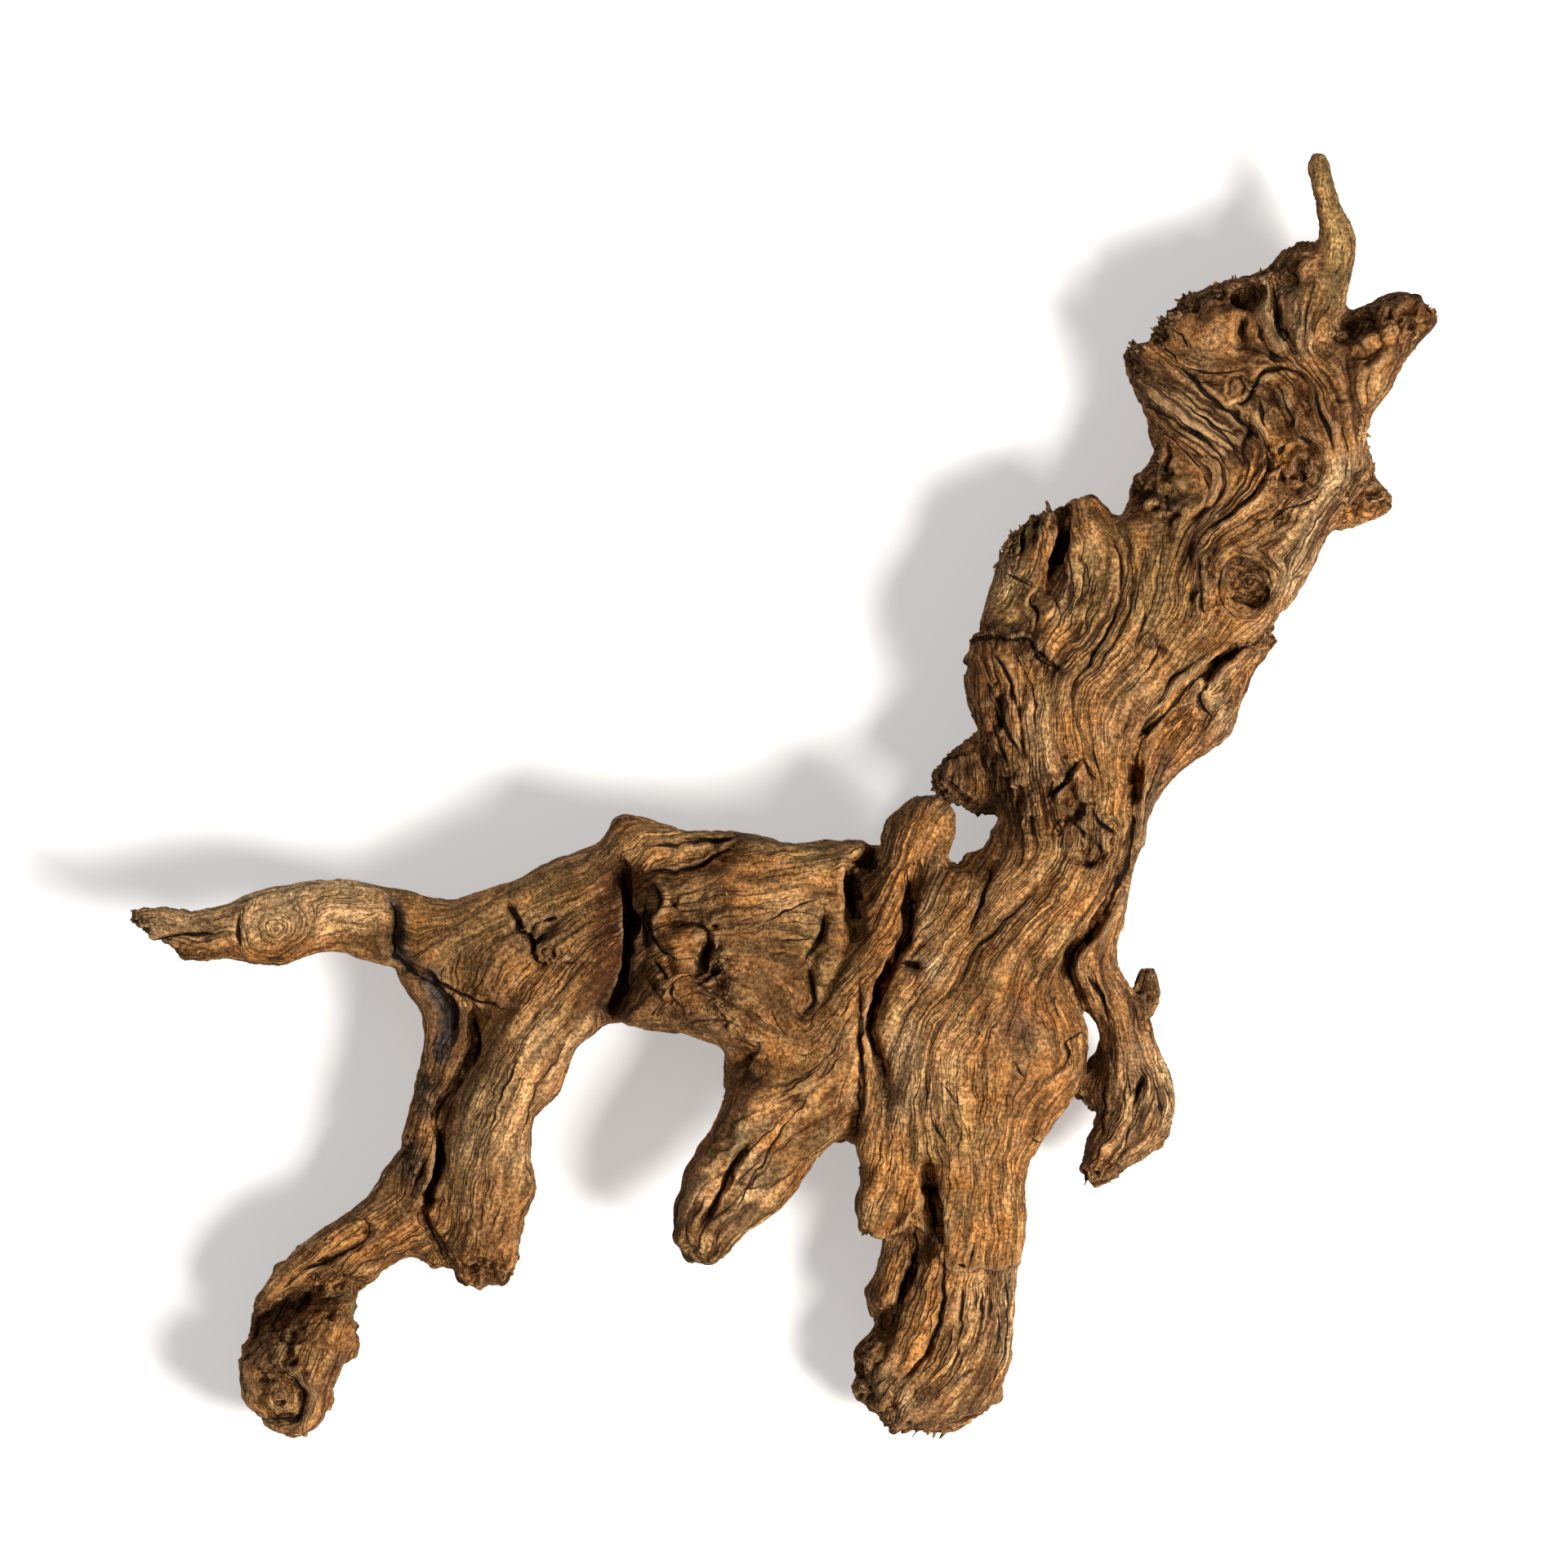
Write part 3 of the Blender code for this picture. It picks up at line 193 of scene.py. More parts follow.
# Cracks and furrows of the upper face: half width, depth, and the line they follow
CRACKS: tuple[Patch, ...] = (
    (7, 10, ((478, 1105), (485, 1130), (485, 1165), (497, 1180), (515, 1195), (530, 1205), (545, 1225),
        (553, 1245), (548, 1270), (540, 1285))),
    (1.8, 5, ((500, 1180), (540, 1203), (580, 1222), (625, 1236))),
    (3, 6, ((583, 1245), (587, 1280), (580, 1300))),
    (5, 12, ((560, 1325), (545, 1345), (535, 1370), (542, 1400), (540, 1430), (530, 1455), (520, 1480),
        (530, 1510), (545, 1545))),
    (3.4, 8, ((622, 1108), (631, 1122), (637, 1138), (646, 1151), (653, 1158), (653, 1168), (658, 1177),
        (664, 1180), (674, 1180))),
    (1.8, 6, ((650, 1156), (660, 1152), (667, 1143))), (2.4, 6, ((650, 1144), (654, 1134), (661, 1127))),
    (2.2, 6, ((663, 1128), (669, 1123), (680, 1121))), (2.0, 5, ((692, 1178), (699, 1180), (704, 1178))),
    (6, 22, ((760, 1060), (767, 1085), (771, 1110), (769, 1150), (766, 1190), (758, 1220), (748, 1235))),
    (6, 12, ((792, 1108), (788, 1130), (790, 1160))),
    (4, 6, ((800, 1035), (830, 1032), (870, 1028), (908, 1024))),
    (3, 7, ((905, 1034), (870, 1050), (835, 1063), (795, 1066))),
    (2.0, 5, ((828, 1137), (840, 1131), (852, 1128), (862, 1133), (868, 1141), (869, 1152))),
    (4.2, 12, ((868, 1144), (868, 1156), (863, 1168), (856, 1180), (850, 1190))),
    (2.6, 8, ((872, 1134), (880, 1132))),
    (2.2, 7, ((793, 1124), (797, 1143), (805, 1155), (817, 1164), (829, 1174))),
    (1.8, 6, ((803, 1080), (810, 1092), (808, 1108), (797, 1122))),
    (1.8, 6, ((802, 1172), (812, 1186), (821, 1200))), (1.6, 5, ((793, 1194), (807, 1213), (814, 1228))),
    (1.4, 4, ((884, 1140), (880, 1160), (872, 1176))),
    (3, 6, ((1010, 1115), (1008, 1140), (995, 1160), (985, 1175))),
    (3, 6, ((990, 1190), (995, 1225), (985, 1235))),
    (7, 16, ((1068, 1035), (1060, 1060), (1045, 1062), (1042, 1100), (1048, 1140))),
    (5, 12, ((1110, 1060), (1112, 1130), (1100, 1160), (1085, 1190), (1072, 1215), (1065, 1250),
        (1070, 1280), (1080, 1310), (1083, 1330))),
    (4, 9, ((1050, 1195), (1052, 1250), (1053, 1300), (1050, 1350), (1047, 1385))),
    (6, 10, ((1100, 1182), (1112, 1180), (1125, 1186))),
    (3, 8, ((912, 1400), (900, 1420), (885, 1450), (870, 1480), (857, 1503))),
    (6, 18, ((1131, 1430), (1137, 1450), (1143, 1480), (1145, 1505), (1148, 1522))),
    (3.0, 9, ((1124, 1490), (1120, 1520), (1114, 1550), (1106, 1582), (1097, 1606), (1087, 1624))),
    (1.8, 4, ((1321, 1261), (1303, 1275), (1306, 1290), (1300, 1305), (1285, 1320))),
    (2.2, 4, ((1238, 1298), (1250, 1318))), (1.4, 3, ((1139, 1361), (1148, 1380), (1161, 1401))),
    (1.2, 3, ((1151, 1326), (1162, 1340), (1175, 1353))), (1.4, 3, ((1258, 1391), (1272, 1399))),
    (1.3, 3, ((1133, 1290), (1131, 1330), (1137, 1365))),
    (1.3, 3, ((1411, 412), (1425, 426), (1445, 447), (1470, 458), (1502, 456), (1540, 447))),
    (1.2, 3, ((1404, 424), (1422, 440), (1440, 456), (1466, 470), (1492, 470))),
    (1.2, 3, ((1430, 400), (1446, 412), (1452, 428))),
    (1.6, 4, ((1420, 498), (1450, 522), (1480, 546), (1500, 575))),
    (1.6, 4, ((1440, 490), (1470, 512), (1500, 540), (1515, 570))),
    (1.8, 4, ((1412, 520), (1440, 545), (1465, 570), (1478, 600), (1470, 630))),
    (1.6, 4, ((1485, 560), (1495, 590), (1488, 620), (1470, 645))),
    (1.6, 4, ((1560, 470), (1572, 500), (1580, 520))),
    (1.8, 4, ((1530, 505), (1528, 530), (1518, 555), (1522, 580))),
    (1.6, 4, ((1550, 640), (1570, 625), (1600, 618), (1618, 600))),
    (1.6, 4, ((1500, 690), (1492, 712), (1496, 745), (1512, 762))),
    (1.4, 3, ((1640, 520), (1648, 560), (1640, 600))), (1.4, 3, ((1430, 770), (1405, 815), (1375, 850))),
    (1.4, 3, ((1470, 800), (1435, 830), (1410, 870))), (1.4, 3, ((1420, 930), (1405, 975), (1400, 1020))),
    (1.6, 4, ((1395, 720), (1398, 760), (1385, 800))), (1.6, 4, ((1240, 800), (1262, 850), (1268, 900))),
    (1.4, 3, ((1330, 870), (1338, 920), (1345, 960))), (1.4, 3, ((1175, 1600), (1172, 1650), (1155, 1690))),
    (1.4, 3, ((1222, 1580), (1220, 1640), (1200, 1690))), (1.4, 3, ((950, 1390), (920, 1440), (900, 1480))),
    (1.4, 3, ((985, 1345), (955, 1385), (925, 1430))), (1.4, 3, ((640, 1290), (610, 1350), (592, 1410))),
    (1.3, 3, ((690, 1280), (655, 1340), (638, 1400))), (1.4, 3, ((1000, 1100), (960, 1115), (930, 1130))),
    (1.4, 3, ((995, 1150), (955, 1150))), (1.4, 3, ((500, 1530), (450, 1545), (415, 1575))),
    (2.2, 8, ((1154, 1524), (1153, 1563), (1151, 1600), (1147, 1625), (1138, 1645), (1122, 1667),
        (1102, 1694))),
    (2.4, 7, ((1176, 1574), (1176, 1596), (1172, 1620))),
    (1.8, 6, ((1200, 1576), (1201, 1600), (1198, 1622))), (1.5, 5, ((1193, 1580), (1194, 1600))),
    (1.5, 5, ((1212, 1590), (1212, 1612))), (1.6, 6, ((1192, 1518), (1188, 1534), (1184, 1552))),
    (1.6, 4, ((1172, 1546), (1182, 1552))), (1.3, 3, ((1232, 1560), (1231, 1640), (1222, 1690))),
    (1.3, 3, ((1167, 1625), (1158, 1650), (1138, 1680))),
    (1.3, 3, ((1186, 1630), (1176, 1665), (1150, 1705))),
    (1.6, 4, ((1225, 1668), (1215, 1690), (1206, 1705))),
    (6, 16, ((1560, 760), (1540, 785), (1510, 800), (1455, 840), (1430, 870), (1405, 890), (1393, 920),
        (1387, 960), (1387, 1000), (1378, 1050), (1365, 1090), (1350, 1120), (1330, 1145), (1312, 1165),
        (1307, 1190), (1318, 1220), (1332, 1260))),
    (3.5, 8, ((1510, 800), (1490, 815), (1475, 840), (1468, 855), (1475, 870), (1482, 880), (1477, 890))),
    (2.5, 6, ((1330, 1195), (1345, 1215), (1355, 1245))),
    (3.0, 7, ((1395, 1312), (1391, 1330), (1386, 1354))),
    (1.5, 4, ((1408, 1318), (1416, 1345), (1420, 1372))),
    (1.4, 4, ((1386, 1365), (1382, 1390), (1372, 1410))),
    (1.4, 4, ((1352, 1330), (1350, 1370), (1342, 1410))), (1.2, 3, ((1425, 1330), (1431, 1355))),
    (1.5, 3, ((1287, 1068), (1270, 1090), (1240, 1115), (1205, 1148), (1185, 1175), (1172, 1205),
        (1155, 1220))),
    (1.8, 5, ((1213, 1062), (1203, 1090), (1195, 1115), (1183, 1140))),
    (3, 8, ((1286, 976), (1296, 960), (1309, 944), (1322, 931))),
    (2.5, 7, ((1322, 931), (1329, 938), (1338, 950))),
    (2, 6, ((1310, 1006), (1322, 1020), (1324, 1040), (1336, 1052))),
    (2, 6, ((1334, 990), (1346, 1010), (1362, 1020))), (1.8, 5, ((1288, 1000), (1300, 1020), (1296, 1040))),
    (5, 18, ((1307, 622), (1303, 646), (1299, 668), (1293, 690), (1289, 700))),
    (2.6, 8, ((1296, 680), (1288, 700), (1283, 714), (1280, 724))),
    (2.6, 10, ((1248, 642), (1242, 662), (1234, 686))), (3.0, 12, ((1272, 634), (1266, 652), (1262, 672))),
    (2.2, 8, ((1258, 636), (1253, 656), (1246, 680))),
    (1.7, 5, ((1345, 640), (1360, 665), (1370, 700), (1365, 740), (1350, 780), (1325, 820), (1312, 840),
        (1310, 865), (1318, 890))),
    (1.3, 4, ((1370, 650), (1383, 690), (1380, 740), (1365, 785), (1340, 820), (1325, 835))),
    (1.6, 4, ((1226, 701), (1240, 706), (1251, 711), (1260, 717), (1270, 721))),
    (1.8, 5, ((1270, 720), (1259, 737), (1266, 745), (1269, 753), (1264, 776))),
    (1.5, 4, ((1270, 720), (1284, 729), (1290, 742), (1295, 754))),
    (2.2, 6, ((1190, 780), (1211, 777), (1234, 783), (1256, 787), (1269, 806), (1297, 818))),
    (2.2, 6, ((1216, 800), (1228, 820), (1236, 850), (1249, 880))),
    (2.0, 6, ((1203, 835), (1212, 858), (1226, 888), (1251, 928))),
    (1.4, 4, ((1212, 880), (1226, 915), (1240, 950))), (1.6, 4, ((1245, 900), (1260, 940), (1262, 960))),
    (1.4, 4, ((1196, 800), (1206, 820), (1212, 842))), (2.5, 5, ((1463, 680), (1465, 710), (1470, 755))),
    (2.5, 5, ((1585, 535), (1600, 545))), (2.5, 5, ((1560, 560), (1570, 548))),
    (3.4, 9, ((1557, 345), (1561, 380), (1564, 405), (1575, 425), (1590, 440))),
    (4, 8, ((1537, 395), (1545, 420), (1555, 435), (1568, 442))), (5, 9, ((1517, 390), (1518, 420))),
    (3, 7, ((1430, 447), (1450, 457), (1470, 480), (1490, 497), (1505, 505), (1520, 520), (1540, 540))),
    (2, 4, ((1405, 500), (1440, 520), (1470, 540), (1500, 563))),
    (3, 7, ((1545, 540), (1550, 570), (1535, 600), (1510, 625), (1470, 655))),
    (3, 6, ((1605, 480), (1610, 500), (1622, 530), (1630, 555))),
    (3, 6, ((1500, 500), (1520, 495), (1535, 480), (1540, 462), (1555, 455), (1580, 455), (1600, 475))),
    (2.5, 5, ((1540, 490), (1545, 525))), (2.5, 4, ((297, 1120), (294, 1140), (297, 1160))),
    (2.5, 5, ((195, 1147), (235, 1142), (270, 1140))),
    (3, 6, ((446, 1490), (452, 1498), (450, 1514), (433, 1528), (404, 1541), (375, 1554), (343, 1580))),
    (3.5, 6, ((350, 1675), (370, 1700), (372, 1720), (365, 1735), (340, 1737), (310, 1735), (320, 1720))),
)

# Edges where a layer has broken off, so the wood beyond lies lower: drop, how far it reaches, line.
# The lower side is on the right of the line as it runs.
STEPS: tuple[Patch, ...] = (
    (6, 46, ((1143, 1528), (1152, 1541), (1166, 1553), (1181, 1557), (1195, 1548), (1215, 1553),
        (1236, 1545), (1254, 1549))),
    (8, 30, ((1072, 1518), (1090, 1510), (1112, 1495), (1131, 1466))),
    (13, 24, ((436, 1606), (428, 1588), (404, 1583), (380, 1594), (365, 1612), (333, 1633), (301, 1642))),
    (5, 16, ((790, 1070), (803, 1078), (812, 1092), (800, 1122))),
    (4, 22, ((1372, 434), (1400, 445), (1412, 468))),
    (5, 20, ((1190, 782), (1211, 779), (1256, 789), (1297, 820))),
    (5, 26, ((590, 1205), (585, 1245), (588, 1280), (575, 1310), (562, 1330))),
    (4, 24, ((1262, 716), (1252, 742), (1262, 762), (1255, 780))),
    (4, 30, ((1475, 838), (1468, 856), (1480, 880), (1474, 905))),
    (4, 26, ((905, 1024), (860, 1050), (800, 1068))), (4, 20, ((1395, 470), (1402, 500), (1418, 530))),
    (4, 24, ((430, 1500), (455, 1496), (462, 1506), (440, 1520))),
    (3, 30, ((1320, 1290), (1300, 1310), (1282, 1322), (1262, 1330))),
    (4, 26, ((1010, 1118), (1008, 1142), (995, 1160), (988, 1178), (996, 1200), (986, 1232))),
)

# Raised folds of the upper face: half width, rise, line
FOLDS: tuple[Patch, ...] = (
    (11, 6, ((1530, 345), (1541, 385), (1552, 412), (1580, 438), (1605, 452))),
    (15, 5, ((1440, 470), (1480, 500), (1515, 545), (1510, 590), (1490, 630))),
    (9, 5, ((1415, 500), (1450, 530), (1480, 555), (1488, 590), (1475, 625))),
    (9, 6, ((1555, 470), (1575, 500), (1588, 530))), (9, 5, ((1600, 470), (1620, 510), (1632, 550))),
    (8, 6, ((1530, 500), (1540, 530), (1535, 560))),
    (10, 6, ((1556, 600), (1575, 618), (1600, 614), (1618, 590))),
    (9, 6, ((1490, 700), (1500, 675), (1525, 668), (1552, 678), (1566, 705))),
    (9, 5, ((1490, 730), (1502, 756), (1530, 762), (1556, 742))),
    (10, 6, ((1474, 640), (1466, 690), (1472, 750))), (8, 6, ((1420, 588), (1440, 598), (1450, 620))),
    (8, 5, ((1400, 610), (1415, 630), (1440, 645))), (9, 5, ((520, 1328), (529, 1356))),
    (6, 4, ((1348, 1036), (1356, 1044))), (8, 6, ((1640, 430), (1680, 420), (1720, 400))),
    (7, 5, ((1650, 460), (1680, 450), (1700, 430))),
    (9, 5, ((1300, 945), (1330, 935), (1355, 950), (1365, 980))),
    (9, 5, ((1285, 960), (1300, 1000), (1330, 1010))), (8, 4, ((1225, 800), (1238, 840), (1232, 880))),
    (8, 4, ((1255, 850), (1262, 900), (1262, 940))), (13, 6, ((843, 1142), (856, 1152))),
    (6, 5, ((800, 1074), (814, 1086), (815, 1106), (803, 1122))),
    (9, 4, ((822, 1150), (836, 1176), (838, 1200))), (9, 4, ((1100, 1640), (1080, 1680), (1075, 1720))),
)

# Worn hollows of the upper face: half width, depth, line
HOLLOWS: tuple[Patch, ...] = (
    (13, 6, ((312, 1628), (335, 1612), (362, 1596))), (13, 9, ((1512, 368), (1535, 362))),
    (11, 8, ((1566, 332), (1574, 342))), (12, 8, ((1610, 425), (1620, 436))),
    (12, 9, ((1652, 398), (1668, 392))), (8, 8, ((1427, 640), (1427, 655))),
    (16, 7, ((1160, 1750), (1180, 1738))), (13, 12, ((1088, 1615), (1083, 1640))),
    (26, 5, ((1330, 690), (1332, 750))), (20, 5, ((1240, 720), (1242, 765))),
    (28, 5, ((1425, 680), (1420, 740))), (7, 5, ((344, 1136), (350, 1139))),
    (14, 3, ((1285, 985), (1330, 1000))), (12, 7, ((1315, 1030), (1335, 1050))),
    (12, 5, ((868, 1190), (880, 1212))), (14, 7, ((1460, 380), (1490, 372))),
    (8, 7, ((1548, 478), (1552, 492))), (7, 6, ((1598, 545), (1606, 556))),
    (8, 7, ((1480, 470), (1492, 480))), (7, 6, ((1585, 470), (1592, 480))),
    (9, 6, ((1440, 610), (1450, 605))), (7, 6, ((1612, 560), (1616, 575))),
    (8, 7, ((1212, 870), (1218, 885))), (9, 6, ((1180, 940), (1185, 960))),
    (8, 6, ((1690, 420), (1700, 412))), (15, 6, ((1518, 705), (1530, 725))),
)

# Knots: x, y, radius, rise of the boss, depth of the ring round it
KNOTS = (
    Knot(1525, 715, 30, -3, 3), Knot(1590, 575, 24, 3, 5), Knot(340, 1135, 32, 2, 1.2),
    Knot(345, 1708, 26, 7, 5), Knot(1510, 477, 11, 3, 4), Knot(1355, 1013, 9, 4, 3),
)

# Places where the wood is eaten and crumbly: half width, strength, line
ROUGH: tuple[Patch, ...] = (
    (24, 1.2, ((874, 1180), (884, 1200), (878, 1226))), (22, 0.5, ((830, 1108), (880, 1118))),
    (14, 0.9, ((1190, 780), (1211, 777), (1256, 787), (1269, 808), (1297, 820))),
    (10, 0.9, ((1404, 786), (1418, 794))), (20, 1.0, ((1380, 430), (1378, 470))),
    (16, 0.7, ((650, 1150), (690, 1170))), (16, 0.6, ((512, 1325), (535, 1350))),
    (14, 0.7, ((505, 1400), (520, 1470))), (20, 0.9, ((1405, 405), (1430, 380), (1480, 360), (1520, 365))),
    (16, 0.7, ((1560, 335), (1590, 325))), (34, 0.7, ((1290, 960), (1320, 1010), (1345, 1040))),
    (36, 0.8, ((345, 1640), (345, 1700))), (30, 0.9, ((1660, 400), (1720, 390))),
    (22, 0.9, ((1660, 600), (1690, 610))), (26, 0.8, ((1395, 600), (1430, 620))),
    (22, 0.9, ((580, 1555), (615, 1560))), (12, 0.8, ((1236, 660), (1252, 640), (1290, 632))),
    (20, 0.7, ((1160, 930), (1170, 980))), (26, 1.3, ((1522, 708), (1528, 722))),
    (22, 0.8, ((1590, 575), (1592, 576))), (14, 0.5, ((170, 1140), (240, 1170))),
    (22, 0.7, ((1060, 1650), (1060, 1710), (1090, 1745))),
    (24, 0.6, ((1545, 485), (1580, 500), (1600, 540))), (30, 0.7, ((1555, 580), (1600, 600), (1560, 640))),
    (24, 0.6, ((1415, 560), (1430, 590))), (24, 0.6, ((1470, 690), (1480, 760))),
    (22, 0.6, ((1220, 860), (1230, 940), (1250, 1000))), (18, 0.6, ((812, 1200), (840, 1240), (880, 1250))),
    (24, 0.5, ((320, 1640), (400, 1610))), (26, 0.5, ((1640, 470), (1650, 520))),
    (20, 0.8, ((1405, 1195), (1402, 1235))), (18, 0.4, ((840, 1520), (880, 1535))),
    (18, 0.8, ((1335, 1440), (1370, 1425))), (20, 0.6, ((920, 1250), (915, 1310))),
)

# Where the grain stands in strong ridges: half width, strength, line
RIDGED: tuple[Patch, ...] = (
    (60, 0.55, ((1190, 1560), (1180, 1640), (1150, 1710))), (36, 1.7, ((1430, 490), (1480, 550))),
    (40, 1.0, ((1500, 560), (1480, 640))), (34, 0.7, ((1370, 1290), (1400, 1360), (1350, 1420))),
    (40, 0.6, ((930, 1380), (870, 1480))), (44, 0.8, ((1330, 700), (1340, 790))),
    (34, 0.6, ((1215, 820), (1235, 940))), (24, 0.5, ((180, 1125), (250, 1150))),
    (40, 0.8, ((640, 1300), (590, 1500))), (40, 0.5, ((1570, 380), (1600, 460))),
    (34, 0.3, ((1450, 850), (1400, 960))), (50, 0.7, ((1560, 680), (1630, 620))),
    (30, 0.7, ((430, 1530), (360, 1590))), (36, 0.6, ((1100, 1080), (1050, 1220), (990, 1330))),
    (50, 0.15, ((1250, 1120), (1180, 1200))),
)

# Broken ends, where the fibres stop at different lengths: half width, strength, line
BROKEN: tuple[Patch, ...] = (
    (22, 1.0, ((163, 1120), (200, 1150), (240, 1172))), (26, 1.0, ((560, 1570), (620, 1572))),
    (22, 1.0, ((1050, 1500), (1078, 1515))), (26, 0.9, ((1070, 1745), (1140, 1755), (1200, 1735))),
    (24, 1.0, ((1330, 1450), (1370, 1425), (1400, 1400))),
    (30, 1.0, ((1385, 425), (1415, 400), (1440, 370), (1470, 343), (1537, 325), (1590, 300))),
    (26, 1.0, ((1225, 690), (1235, 655), (1262, 635), (1300, 620))), (18, 0.8, ((1668, 525), (1682, 572))),
    (22, 0.7, ((840, 1535), (880, 1540))), (22, 0.8, ((428, 1625), (425, 1662), (403, 1695))),
    (24, 0.8, ((1050, 1650), (1050, 1700))), (22, 0.8, ((1700, 390), (1750, 385))),
    (16, 0.8, ((1690, 600), (1700, 620))), (18, 0.7, ((1560, 775), (1530, 850), (1510, 895))),
    (16, 0.8, ((1064, 1575), (1066, 1605))),
)

# Where splinters stand up: half width, strength, line
SPLINTERED: tuple[Patch, ...] = (
    (16, 1.0, ((1412, 405), (1425, 388), (1440, 372), (1455, 358))), (12, 0.7, ((1390, 430), (1412, 405))),
    (12, 0.6, ((1470, 343), (1500, 335), (1537, 325))), (15, 1.0, ((1226, 690), (1234, 660), (1242, 645))),
    (12, 0.8, ((1250, 645), (1264, 633), (1280, 630))), (10, 0.5, ((1668, 525), (1682, 572))),
    (10, 0.5, ((1078, 1512), (1066, 1516))), (10, 0.3, ((560, 1572), (610, 1576))),
    (10, 0.3, ((1085, 1748), (1160, 1758))),
)

# Where the wood is worn smooth: half width, strength, line
CALM: tuple[Patch, ...] = (
    (34, 1.0, ((210, 1125), (300, 1110), (400, 1110), (470, 1130))),
    (54, 1.0, ((540, 1170), (620, 1130), (690, 1120))), (22, 1.0, ((1612, 190), (1640, 290), (1630, 370))),
    (30, 0.8, ((350, 1565), (430, 1510))), (64, 0.8, ((950, 1100), (950, 1170), (970, 1230))),
    (30, 0.6, ((1440, 420), (1490, 420))), (30, 0.8, ((1090, 1430), (1080, 1490))),
    (60, 0.5, ((1250, 1230), (1200, 1340), (1200, 1400))), (34, 0.7, ((1240, 740), (1260, 830))),
    (44, 0.7, ((1190, 1440), (1205, 1530))), (40, 0.6, ((640, 1300), (600, 1400), (600, 1480))),
    (54, 0.8, ((1430, 800), (1385, 880), (1365, 980))), (40, 0.4, ((1540, 690), (1480, 790))),
    (26, 0.6, ((1560, 660), (1610, 600))), (24, 0.5, ((330, 1690), (362, 1722))),
    (40, 0.5, ((1180, 1620), (1150, 1700))), (36, 0.6, ((1175, 1170), (1190, 1260), (1215, 1370))),
    (22, 0.5, ((1300, 850), (1275, 950))),
)

